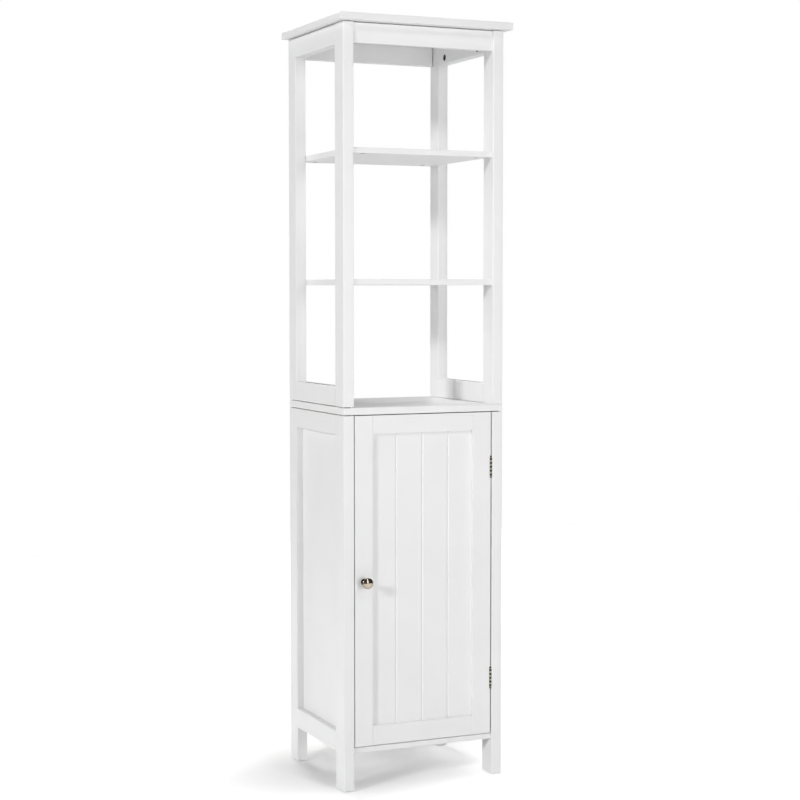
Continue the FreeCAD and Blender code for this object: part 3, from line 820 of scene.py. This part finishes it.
class CABINET_OT_posts(bpy.types.Operator):
    """Makes the posts of the open unit and the legs of the cupboard"""
    bl_idname = "cabinet.posts"
    bl_label = "Posts and legs"

    def support_holes(self, leg):
        """Cutters for the row of holes beside a shelf support."""
        boards = bpy.context.scene.cabinet_boards
        cutters = []
        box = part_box(leg)
        for low, high in solids_in("shelf_supports"):
            side = math.copysign(1, low.x)
            face = box[0].x if side > 0 else box[1].x
            if not (low.x <= face <= high.x and box[0].y <= low.y <= box[1].y):
                continue
            row = Vector((face, (low.y + high.y) / 2, (low.z + high.z) / 2))
            inward = Vector((side * boards.support_hole_depth, 0, 0))
            overrun = Vector((side * CUT_OVERRUN, 0, 0))
            radius = boards.support_hole_diameter / 2
            for index in range(boards.support_hole_count):
                step = (index - (boards.support_hole_count - 1) / 2) * boards.support_hole_pitch
                mouth = row + step * AXIS_VECTORS[Z]
                cutters.append(rod(mouth - overrun, mouth + inward, radius, BORE_FACETS))
        return cutters

    def execute(self, context):
        boards = context.scene.cabinet_boards
        for side in SIDES:
            for place in ("front", "rear"):
                board_piece("upper_%s_%s_post" % (side, place), Z, boards.post_round, boards.end_ease)
                leg = "%s_%s_leg" % (side, place)
                board_piece(leg, Z, boards.post_round, boards.end_ease, self.support_holes(leg))
        return {"FINISHED"}


class CABINET_OT_rails(bpy.types.Operator):
    """Makes the side rails of the open unit and of the cupboard"""
    bl_idname = "cabinet.rails"
    bl_label = "Side rails"

    def execute(self, context):
        boards = context.scene.cabinet_boards
        for side in SIDES:
            for level in LEVELS:
                for place in ("top", "bottom"):
                    node = "%s_%s_%s_rail" % (level, side, place)
                    board_piece(node, Y, boards.post_round, boards.end_ease, cam_pockets(node))
        return {"FINISHED"}


class CABINET_OT_boards(bpy.types.Operator):
    """Makes the top, the middle board, the shelves, the bottom board and the aprons"""
    bl_idname = "cabinet.boards"
    bl_label = "Boards and shelves"

    def execute(self, context):
        boards = context.scene.cabinet_boards
        for node in CAM_BOARDS:
            board_piece(node, X, boards.board_round, boards.end_ease, cam_pockets(node))
        board_piece("cupboard_shelf", X, boards.board_round, boards.end_ease)
        for node in ("top_board", "middle_board"):
            shape = block(*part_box(node))
            soften(shape, shape.edges[:], boards.board_round, boards.round_segments)
            add_piece("painted_" + node, to_mesh(shape, node), node)
        return {"FINISHED"}


class CABINET_OT_panels(bpy.types.Operator):
    """Makes the side panels and the back panel of the cupboard"""
    bl_idname = "cabinet.panels"
    bl_label = "Side and back panels"

    def execute(self, context):
        boards = context.scene.cabinet_boards
        for side in SIDES:
            node = "%s_side_panel" % side
            low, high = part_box(node)
            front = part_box("%s_front_leg" % side)[1].y - boards.tongue
            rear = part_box("%s_rear_leg" % side)[0].y + boards.tongue
            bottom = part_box("lower_%s_bottom_rail" % side)[1].z - boards.tongue
            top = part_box("lower_%s_top_rail" % side)[0].z + boards.tongue
            shape = block(Vector((low.x, front, bottom)), Vector((high.x, rear, top)))
            soften(shape, edges_along(shape, X), boards.tongue / 2, boards.round_segments)
            add_piece("painted_" + node, to_mesh(shape, node), node)
        self.back_panel(boards)
        return {"FINISHED"}

    def back_panel(self, boards):
        """A thin board, painted inside and primed behind."""
        low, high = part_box("back_panel")
        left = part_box("left_rear_leg")[1].x - boards.tongue
        shape = block(Vector((left, low.y, low.z)), Vector((-left, high.y, high.z)))
        soften(shape, shape.edges[:], boards.end_ease, EASE_FACETS)
        mesh = to_mesh(shape, "back_panel")
        mesh.materials.append(finish_of("back_hardboard"))
        mesh.materials.append(finish_of("painted_board"))
        for face in mesh.polygons:
            face.material_index = int(face.normal.y < -ALONG_LIMIT)
        add_piece("faced_back_panel", mesh, "back_panel")


class CABINET_OT_door(bpy.types.Operator):
    """Makes the door's stiles, rails and planked panel"""
    bl_idname = "cabinet.door"
    bl_label = "Door"

    def execute(self, context):
        boards = context.scene.cabinet_boards
        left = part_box("door_left_stile")
        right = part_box("door_right_stile")
        board_piece("door_left_stile", Z, boards.door_round, boards.end_ease)
        self.hinge_stile(boards, *right)
        for place in ("top", "bottom"):
            node = "door_%s_rail" % place
            low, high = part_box(node)
            shape = sawn(Vector((left[1].x, low.y, low.z)), Vector((right[0].x, high.y, high.z)), X,
                         boards.door_round, boards.joint_ease)
            add_piece("painted_" + node, to_mesh(shape, node), node)
        self.panel(boards, left[1].x, right[0].x)
        return {"FINISHED"}

    def hinge_stile(self, boards, low, high):
        """The stile that carries the hinges, with a recess for each of them in its edge."""
        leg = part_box("right_front_leg")[0].x
        recesses = []
        for level in LEVELS:
            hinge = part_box("%s_hinge_pin" % level)
            recesses.append(block(Vector((high.x, low.y - CUT_OVERRUN, hinge[0].z)),
                                  Vector((leg, high.y + CUT_OVERRUN, hinge[1].z))))
        edge = leg - boards.hinge_gap
        shape = sawn(low, Vector((edge, high.y, high.z)), Z, boards.door_round, boards.end_ease)
        mesh = carved(to_mesh(shape, "door_right_stile"), recesses)
        add_piece("painted_door_right_stile", mesh, "door_right_stile")

    def panel(self, boards, left, right):
        """Grooves cut into a flat panel show it as planks."""
        low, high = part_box("door_panel")
        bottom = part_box("door_bottom_rail")[1].z - 2 * boards.tongue
        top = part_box("door_top_rail")[0].z + 2 * boards.tongue
        shape = block(Vector((left - boards.tongue, low.y, bottom)),
                      Vector((right + boards.tongue, high.y, top)))
        middle = (left + right) / 2 + boards.plank_shift
        half = boards.plank_groove_width / 2
        side_grooves = int((right - middle) / boards.plank_width)
        for index in range(-side_grooves, side_grooves + 1):
            groove = middle + index * boards.plank_width
            for place in (groove - half, groove, groove + half):
                whole = shape.verts[:] + shape.edges[:] + shape.faces[:]
                bmesh.ops.bisect_plane(shape, geom=whole, dist=MERGE_DISTANCE,
                                       plane_co=(place, 0, 0), plane_no=AXIS_VECTORS[X])
            front = [vert for vert in shape.verts if abs(vert.co.y - low.y) < FACE_DISTANCE]
            root = [vert for vert in front if abs(vert.co.x - groove) < FACE_DISTANCE]
            bmesh.ops.translate(shape, vec=(0, boards.plank_groove_depth, 0), verts=root)
        add_piece("planked_door_panel", to_mesh(shape, "door_panel"), "door_panel")


class CABINET_OT_knob(bpy.types.Operator):
    """Turns the knob"""
    bl_idname = "cabinet.knob"
    bl_label = "Knob"

    def execute(self, context):
        fittings = context.scene.cabinet_fittings
        low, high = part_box("knob")
        reach = high.y - low.y
        head = (high.x - low.x) / 2
        base = fittings.knob_base_diameter / 2
        neck = fittings.knob_neck_diameter / 2
        rim = fittings.knob_rim_thickness / 2
        ease = fittings.knob_base_thickness / 4
        flange = fittings.knob_base_thickness
        rim_height = reach - fittings.knob_dome_height
        cove = base - ease - neck
        # The flange with its eased edge, and the cove that leads to the neck
        profile = [(0, 0), (base, 0)]
        profile += arc((base - ease, flange - ease), ease, 0, 90, KNOB_FACETS["edge"])
        profile += arc((neck + cove, flange + cove), cove, 270, 180, KNOB_FACETS["cove"])[1:]
        # The neck flares out to the rim along a quarter of an oval
        flare = head - rim - neck
        flare_height = rim_height - rim - flange - cove
        for step in range(1, KNOB_FACETS["flare"]):
            turn = step / KNOB_FACETS["flare"] * math.pi / 2
            profile.append((neck + flare * (1 - math.cos(turn)),
                            flange + cove + flare_height * math.sin(turn)))
        # The rim, and a shallow dome that meets it at its shoulder
        profile += arc((head - rim, rim_height), rim, -90, RIM_END, KNOB_FACETS["rim"])
        shoulder = profile[-1]
        rise = reach - shoulder[1]
        sphere = (shoulder[0] ** 2 + rise ** 2) / (2 * rise)
        spread = math.degrees(math.acos(shoulder[0] / sphere))
        profile += arc((0, reach - sphere), sphere, spread, 90, KNOB_FACETS["dome"])[1:-1]
        profile.append((0, reach))
        place = Vector(((low.x + high.x) / 2, high.y, (low.z + high.z) / 2))
        shape = turned(profile, place, -AXIS_VECTORS[Y], fittings.turned_steps)
        add_piece("turned_knob", to_mesh(shape, "knob"), "knob", even_shading=False)
        return {"FINISHED"}


def cross_recess(mesh, radius, width_share):
    """Cuts a driver's cross into a head whose face is at zero, tapered towards its floor."""
    length, width, depth = CROSS_LENGTH * radius, width_share * radius, CROSS_DEPTH * radius
    for size in ((length, width), (width, length)):
        corner = Vector((size[0] / 2, size[1] / 2, depth))
        shape = block(-corner, corner)
        floor = [vert for vert in shape.verts if vert.co.z > 0]
        bmesh.ops.scale(shape, vec=(CROSS_FLOOR, CROSS_FLOOR, 1), verts=floor)
        mesh = carved(mesh, [shape])
    return mesh


def screw_profile(length, head, shank, extra=0.0):
    """Half the outline of a countersunk screw from its face, as (radius, height) points."""
    seat = head - shank
    tip = 2 * shank
    return [(0, -extra), (head + extra, -extra), (head + extra, extra),
            (shank + extra, seat + 2 * extra), (shank + extra, length - tip), (0, length + extra)]


def screw_places(node):
    """Length, head radius and places of the screws in a node, by the face of each head."""
    way = SCREW_WAYS[node]
    axis = max((X, Y, Z), key=lambda index: abs(way[index]))
    places = []
    for low, high in solids_in(node):
        face = (low + high) / 2
        face[axis] = low[axis] if way[axis] > 0 else high[axis]
        places.append(face)
    size = high - low
    return size[axis], size[(axis + 1) % 3] / 2, places


def screw_bores(node, shank, box):
    """Cutters for those screws of a node that pass through a box."""
    fittings = bpy.context.scene.cabinet_fittings
    length, head, places = screw_places(node)
    profile = screw_profile(length, head, shank, fittings.fit_clearance)
    low = [corner - SCREW_SLACK for corner in box[0]]
    high = [corner + SCREW_SLACK for corner in box[1]]
    inside = [place for place in places
              if all(low[axis] <= place[axis] <= high[axis] for axis in (X, Y, Z))]
    return [turned(profile, place, SCREW_WAYS[node], BORE_FACETS) for place in inside]


class CABINET_OT_hinges(bpy.types.Operator):
    """Makes the leaves and pins of the two butt hinges"""
    bl_idname = "cabinet.hinges"
    bl_label = "Hinges"

    def execute(self, context):
        fittings = context.scene.cabinet_fittings
        for level in LEVELS:
            low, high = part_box("%s_hinge_post_leaf" % level)
            spans = self.knuckle_spans(fittings, low.z, high.z)
            self.leaf(fittings, level, "post", spans[0::2], spans[1::2])
            self.leaf(fittings, level, "door", spans[1::2], spans[0::2])
            self.pin(fittings, level, low.z, high.z)
        return {"FINISHED"}

    def knuckle_spans(self, fittings, low, high):
        """The lower and upper end of each knuckle, from the lowest up."""
        pitch = (high - low + fittings.hinge_knuckle_gap) / fittings.hinge_knuckle_count
        starts = [low + index * pitch for index in range(fittings.hinge_knuckle_count)]
        return [(start, start + pitch - fittings.hinge_knuckle_gap) for start in starts]

    def knuckle(self, radius, span, ease=0.0):
        """A cylinder on the hinge's axis. Where its ends are eased, they get the second material, rubbed
        brass that is also a painted highlight.
        """
        x, y, _ = HINGE_AXIS
        shape = rod(Vector((x, y, span[0])), Vector((x, y, span[1])), radius, HINGE_FACETS)
        if ease:
            soften(shape, end_edges(shape, Z), ease, EASE_FACETS)
            shape.normal_update()
            for face in shape.faces:
                face.material_index = int(abs(face.normal.z) > RUBBED_AND_HIGHLIGHT_LEAN)
        return shape

    def leaf(self, fittings, level, kind, own_spans, other_spans):
        """A plate with rounded corners, notched for the other leaf's knuckles and joined to its own."""
        node = "%s_hinge_%s_leaf" % (level, kind)
        low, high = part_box(node)
        thickness = fittings.hinge_leaf_thickness
        plate_x = (high.x - thickness, high.x) if kind == "post" else (low.x, low.x + thickness)
        radius = HINGE_AXIS[1] - low.y
        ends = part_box("%s_hinge_post_leaf" % level)
        shape = block(Vector((plate_x[0], HINGE_AXIS[1], ends[0].z)),
                      Vector((plate_x[1], high.y, ends[1].z)))
        corners = [edge for edge in edges_along(shape, X)
                   if edge.verts[0].co.y > high.y - FACE_DISTANCE]
        soften(shape, corners, fittings.hinge_leaf_corner, LEAF_CORNER_FACETS)
        gap = fittings.hinge_knuckle_gap
        room = radius + NOTCH_GAPS * gap
        notches = [self.knuckle(room, (span[0] - gap, span[1] + gap)) for span in other_spans]
        knuckles = [self.knuckle(radius, span, fittings.hinge_knuckle_ease) for span in own_spans]
        bore = self.knuckle(fittings.hinge_pin_diameter / 2 + fittings.fit_clearance,
                            (ends[0].z - CUT_OVERRUN, ends[1].z + CUT_OVERRUN))
        screws = screw_bores("hinge_%s_screws" % kind, fittings.screw_shank_diameter / 2, (low, high))
        mesh = carved(to_mesh(shape, node), notches)
        # The second material is the knuckles' rubbed ends, near white as a painted highlight
        for finish in (SLOT_OF[node], "rubbed_brass"):
            mesh.materials.append(finish_of(finish))
        mesh = carved(mesh, knuckles, "UNION")
        mesh = carved(mesh, [bore, *screws])
        add_piece("rolled_" + node, mesh, node)

    def pin(self, fittings, level, low, high):
        """A pin with a bullet tip at each end."""
        node = "%s_hinge_pin" % level
        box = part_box(node)
        tip = (box[1].x - box[0].x) / 2
        radius = fittings.hinge_pin_diameter / 2
        half = (high - low) / 2
        height = fittings.hinge_tip_height
        collar = COLLAR_HEIGHT * height
        inner = COLLAR_RADIUS * tip
        angles = [math.radians(90 * step / TIP_FACETS) for step in range(TIP_FACETS)]
        dome = [(tip * math.cos(angle), half + collar + (height - collar) * math.sin(angle))
                for angle in angles]
        side = [(radius, half), (inner, half), (inner, half + collar / 2), *dome, (0, half + height)]
        profile = [(reach, -rise) for reach, rise in reversed(side)] + side
        place = Vector((HINGE_AXIS[0], HINGE_AXIS[1], (low + high) / 2))
        shape = turned(profile, place, AXIS_VECTORS[Z], HINGE_FACETS)
        add_piece("turned_" + node, to_mesh(shape, node), node, even_shading=False)


class CABINET_OT_screws(bpy.types.Operator):
    """Makes the screws, with a driver's cross in each head"""
    bl_idname = "cabinet.screws"
    bl_label = "Screws"

    def execute(self, context):
        fittings = context.scene.cabinet_fittings
        shanks = {"knob_screw": fittings.knob_screw_shank_diameter,
                  "middle_board_screws": fittings.board_screw_shank_diameter}
        for node, way in SCREW_WAYS.items():
            length, head, places = screw_places(node)
            shank = shanks.get(node, fittings.screw_shank_diameter) / 2
            if node == "knob_screw":
                profile = self.pan_profile(fittings, length, head, shank)
            else:
                profile = screw_profile(length, head, shank)
            mesh = to_mesh(turned(profile, Vector(), AXIS_VECTORS[Z], SCREW_FACETS), node)
            mesh = cross_recess(mesh, head, SCREW_CROSS_WIDTH)
            mesh = repeated(mesh, node, [aimed(place, way) for place in places])
            add_piece("driven_" + node, mesh, node)
        return {"FINISHED"}

    def pan_profile(self, fittings, length, head, shank):
        """Half the outline of a machine screw with a low round head."""
        height = fittings.knob_screw_head_height
        crown = arc((head - height, height), height, 270, 360, PAN_FACETS)
        tip = shank / 2
        return [(0, 0), *crown, (shank, height), (shank, length - tip), (tip, length), (0, length)]


class CABINET_OT_catch(bpy.types.Operator):
    """Makes the housing of the magnetic catch and its strike plate"""
    bl_idname = "cabinet.catch"
    bl_label = "Catch"

    def execute(self, context):
        boards = context.scene.cabinet_boards
        fittings = context.scene.cabinet_fittings
        shank = fittings.screw_shank_diameter / 2
        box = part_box("catch_housing")
        shape = block(*box)
        soften(shape, edges_along(shape, Z), boards.board_round, boards.round_segments)
        soften(shape, end_edges(shape, Z), boards.end_ease, EASE_FACETS)
        low, high = spanned((*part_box("catch_magnet"), *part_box("catch_pole_plates")))
        slack = Vector((1, 1, 1)) * fittings.fit_clearance
        mesh = carved(to_mesh(shape, "catch_housing"), [block(low - slack, high + slack)])
        mesh = carved(mesh, screw_bores("catch_screws", shank, box))
        add_piece("moulded_catch_housing", mesh, "catch_housing")
        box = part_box("strike_plate")
        shape = block(*box)
        soften(shape, edges_along(shape, Y), boards.board_round, boards.round_segments)
        soften(shape, end_edges(shape, Y), boards.end_ease / 2, EASE_FACETS)
        mesh = carved(to_mesh(shape, "strike_plate"), screw_bores("strike_screws", shank, box))
        add_piece("pressed_strike_plate", mesh, "strike_plate")
        return {"FINISHED"}


class CABINET_OT_cams(bpy.types.Operator):
    """Makes the cam locks, each with a rim and a driver's cross"""
    bl_idname = "cabinet.cams"
    bl_label = "Cam locks"

    def execute(self, context):
        fittings = context.scene.cabinet_fittings
        matrices = []
        for low, high in solids_in("cam_locks"):
            size = high - low
            axis = thin_axis(size)
            way = self.inward(low, high, axis)
            face = (low + high) / 2 - way * size[axis] / 2
            matrices.append(aimed(face, way))
        radius = max(size) / 2
        depth = min(size)
        dish = fittings.cam_dish
        rim = radius - fittings.cam_rim_width
        profile = [(0, 2 * dish), (rim - dish, 2 * dish), (rim, dish), (radius - dish / 2, dish),
                   (radius, 1.5 * dish), (radius, depth - dish), (radius - dish, depth), (0, depth)]
        mesh = to_mesh(turned(profile, Vector(), AXIS_VECTORS[Z], CAM_FACETS), "cam_locks")
        mesh = cross_recess(mesh, radius, CAM_CROSS_WIDTH)
        add_piece("cast_cam_locks", repeated(mesh, "cam_locks", matrices), "cam_locks")
        return {"FINISHED"}

    def inward(self, low, high, axis):
        """The way from a cam's open face into its board."""
        for node in CAM_BOARDS + CAM_RAILS:
            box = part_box(node)
            if within((low, high), box):
                nearer_low = low[axis] - box[0][axis] < box[1][axis] - high[axis]
                return AXIS_VECTORS[axis] if nearer_low else -AXIS_VECTORS[axis]
        raise RuntimeError("A cam lock lies in no board")


class CABINET_OT_fittings(bpy.types.Operator):
    """Finishes the fittings that keep their built shape"""
    bl_idname = "cabinet.fittings"
    bl_label = "Fittings"

    def execute(self, context):
        for node, shown in frame["nodes"].items():
            if not shown.hide_render:
                shown.data.materials.clear()
                shown.data.materials.append(finish_of(SLOT_OF[node]))
        return {"FINISHED"}


class CABINET_OT_stage(bpy.types.Operator):
    """Sets up the camera, the lamps, the floor and the white background"""
    bl_idname = "cabinet.stage"
    bl_label = "Stage"

    def execute(self, context):
        stage = context.scene.cabinet_stage
        context.scene.view_settings.view_transform = "Standard"
        self.camera(context, stage)
        self.lamps(context, stage)
        self.floor(context, stage)
        self.background(context, stage)
        return {"FINISHED"}

    def camera(self, context, stage):
        """The camera at the photograph's viewing angle."""
        data = bpy.data.cameras.new("camera")
        data.lens = stage.camera_focal_mm
        camera = bpy.data.objects.new("camera", data)
        camera.location = stage.camera_place
        camera.rotation_euler = (math.radians(90) - stage.camera_tilt, 0, -stage.camera_turn)
        context.scene.collection.objects.link(camera)
        context.scene.camera = camera

    def hang(self, context, data, turn, rise, distance):
        """Hangs a lamp round the middle of the cabinet, pointed at it."""
        middle = (CAD_BOX[0] + CAD_BOX[1]) / 2
        level = math.cos(rise)
        way = Vector((math.sin(turn) * level, -math.cos(turn) * level, math.sin(rise)))
        lamp = bpy.data.objects.new(data.name, data)
        lamp.location = middle + way * distance
        lamp.rotation_euler = way.to_track_quat("Z", "Y").to_euler()
        lamp.visible_camera = False
        context.scene.collection.objects.link(lamp)
        return lamp

    def lamps(self, context, stage):
        """Five suns give the soft studio light, and two softboxes show in metal."""
        for name in SUNS:
            data = bpy.data.lights.new(name + "_lamp", "SUN")
            data.energy = getattr(stage, name + "_strength")
            data.angle = getattr(stage, name + "_spread")
            lamp = self.hang(context, data, *getattr(stage, name + "_aim"), stage.lamp_distance)
            # The lamp ahead would stand as a round spot in the knob, where the strip draws a streak
            lamp.visible_glossy = name != "front"
        for name in ("strip", "side"):
            data = bpy.data.lights.new(name + "_softbox", "AREA")
            data.shape = "RECTANGLE"
            data.size, data.size_y = getattr(stage, name + "_size")
            data.energy = getattr(stage, name + "_power")
            self.hang(context, data, *getattr(stage, name + "_aim"), stage.lamp_distance)

    def seen(self, tree):
        """One where the camera, a reflection or a see-through surface looks, and zero for other light."""
        path = add_node(tree, "ShaderNodeLightPath", {})
        first = add_node(tree, "ShaderNodeMath", {
            0: path.outputs["Is Camera Ray"], 1: path.outputs["Is Glossy Ray"]}, operation="MAXIMUM")
        both = add_node(tree, "ShaderNodeMath", {
            0: first.outputs["Value"], 1: path.outputs["Is Transmission Ray"]}, operation="MAXIMUM")
        return both.outputs["Value"]

    def floor(self, context, stage):
        """A pale floor that turns white away from the cabinet, and keeps an oval shade under it."""
        shape = bmesh.new()
        bmesh.ops.create_grid(shape, x_segments=1, y_segments=1, size=stage.floor_size / 2)
        floor = bpy.data.objects.new("floor", to_mesh(shape, "floor"))
        context.scene.collection.objects.link(floor)
        material, tree = new_material("pale_floor")
        matt = add_node(tree, "ShaderNodeBsdfDiffuse", {"Color": rgba(stage.floor_grey)})
        place = add_node(tree, "ShaderNodeTexCoord", {}).outputs["Object"]
        oval = add_node(tree, "ShaderNodeMapping", {
            "Vector": place, "Location": stage.floor_shade_middle, "Scale": stage.floor_shade_size,
            "Rotation": (0, 0, stage.floor_shade_turn)}, vector_type="TEXTURE")
        away = add_node(tree, "ShaderNodeVectorMath", {0: oval.outputs["Vector"]}, operation="LENGTH")
        rise = add_node(tree, "ShaderNodeMapRange", {
            "Value": away.outputs["Value"], "From Min": stage.floor_shade_start, "From Max": 1.0,
            "To Min": stage.floor_lift[0], "To Max": stage.floor_lift[1]},
            interpolation_type="SMOOTHSTEP")
        lift = add_node(tree, "ShaderNodeMath", {0: self.seen(tree), 1: rise.outputs["Result"]},
                        operation="MULTIPLY")
        glow = add_node(tree, "ShaderNodeEmission", {"Strength": lift.outputs["Value"]})
        both = add_node(tree, "ShaderNodeAddShader", {
            0: matt.outputs["BSDF"], 1: glow.outputs["Emission"]})
        add_node(tree, "ShaderNodeOutputMaterial", {"Surface": both.outputs["Shader"]})
        floor.data.materials.append(material)

    def background(self, context, stage):
        """White where it is seen. Reflections find the white backdrop, and a dim studio over its edge."""
        world = bpy.data.worlds.new("studio")
        world.use_nodes = True
        tree = world.node_tree
        tree.nodes.clear()
        path = add_node(tree, "ShaderNodeLightPath", {})
        way = add_node(tree, "ShaderNodeTexCoord", {}).outputs["Generated"]
        height = add_node(tree, "ShaderNodeSeparateXYZ", {"Vector": way})
        backdrop = add_node(tree, "ShaderNodeMapRange", {
            "Value": height.outputs["Z"],
            "From Min": math.sin(stage.backdrop_edge[0]), "From Max": math.sin(stage.backdrop_edge[1]),
            "To Min": 1.0, "To Max": stage.studio_dim}, interpolation_type="SMOOTHSTEP")
        edge = math.sin(stage.ambient_edge)
        ambient = add_node(tree, "ShaderNodeMapRange", {
            "Value": height.outputs["Z"], "From Min": -edge, "From Max": edge,
            "To Min": stage.ambient[0], "To Max": stage.ambient[1]}, interpolation_type="SMOOTHSTEP")
        unseen = add_node(tree, "ShaderNodeMix", {
            "Factor": path.outputs["Is Glossy Ray"], "A": ambient.outputs["Result"],
            "B": backdrop.outputs["Result"]})
        looked_at = add_node(tree, "ShaderNodeMath", {
            0: path.outputs["Is Camera Ray"], 1: path.outputs["Is Transmission Ray"]},
            operation="MAXIMUM")
        strength = add_node(tree, "ShaderNodeMix", {
            "Factor": looked_at.outputs["Value"], "A": unseen.outputs["Result"], "B": 1.0})
        light = add_node(tree, "ShaderNodeBackground", {
            "Color": rgba((1, 1, 1)), "Strength": strength.outputs["Result"]})
        add_node(tree, "ShaderNodeOutputWorld", {"Surface": light.outputs["Background"]})
        context.scene.world = world


class CABINET_PT_sidebar(bpy.types.Panel):
    """Lists the settings and the steps that make the cabinet"""
    bl_idname = "CABINET_PT_sidebar"
    bl_label = "Bathroom cabinet"
    bl_space_type = "VIEW_3D"
    bl_region_type = "UI"
    bl_category = "Cabinet"

    def draw(self, context):
        layout = self.layout
        for name, settings in SETTINGS.items():
            box = layout.box()
            box.label(text=settings.__doc__)
            for prop in settings.__annotations__:
                box.prop(getattr(context.scene, name), prop)
        for step in STEPS:
            layout.operator(step.bl_idname)


SETTINGS = {
    "cabinet_boards": BoardSettings,
    "cabinet_fittings": FittingSettings,
    "cabinet_finishes": FinishSettings,
    "cabinet_stage": StageSettings,
}
STEPS = (
    CABINET_OT_posts, CABINET_OT_rails, CABINET_OT_boards, CABINET_OT_panels, CABINET_OT_door,
    CABINET_OT_knob, CABINET_OT_hinges, CABINET_OT_screws, CABINET_OT_catch, CABINET_OT_cams,
    CABINET_OT_fittings, CABINET_OT_stage,
)


def register():
    """Registers the settings, the steps and the panel."""
    for shown in (*SETTINGS.values(), *STEPS, CABINET_PT_sidebar):
        bpy.utils.register_class(shown)
    for name, settings in SETTINGS.items():
        setattr(bpy.types.Scene, name, PointerProperty(type=settings))


def unregister():
    """Takes the settings, the steps and the panel away."""
    for name in SETTINGS:
        delattr(bpy.types.Scene, name)
    for shown in reversed((*SETTINGS.values(), *STEPS, CABINET_PT_sidebar)):
        bpy.utils.unregister_class(shown)


def main():
    """Makes every piece and the stage."""
    register()
    for step in STEPS:
        group, name = step.bl_idname.split(".")
        getattr(getattr(bpy.ops, group), name)()


if __name__ == "__main__":
    main()
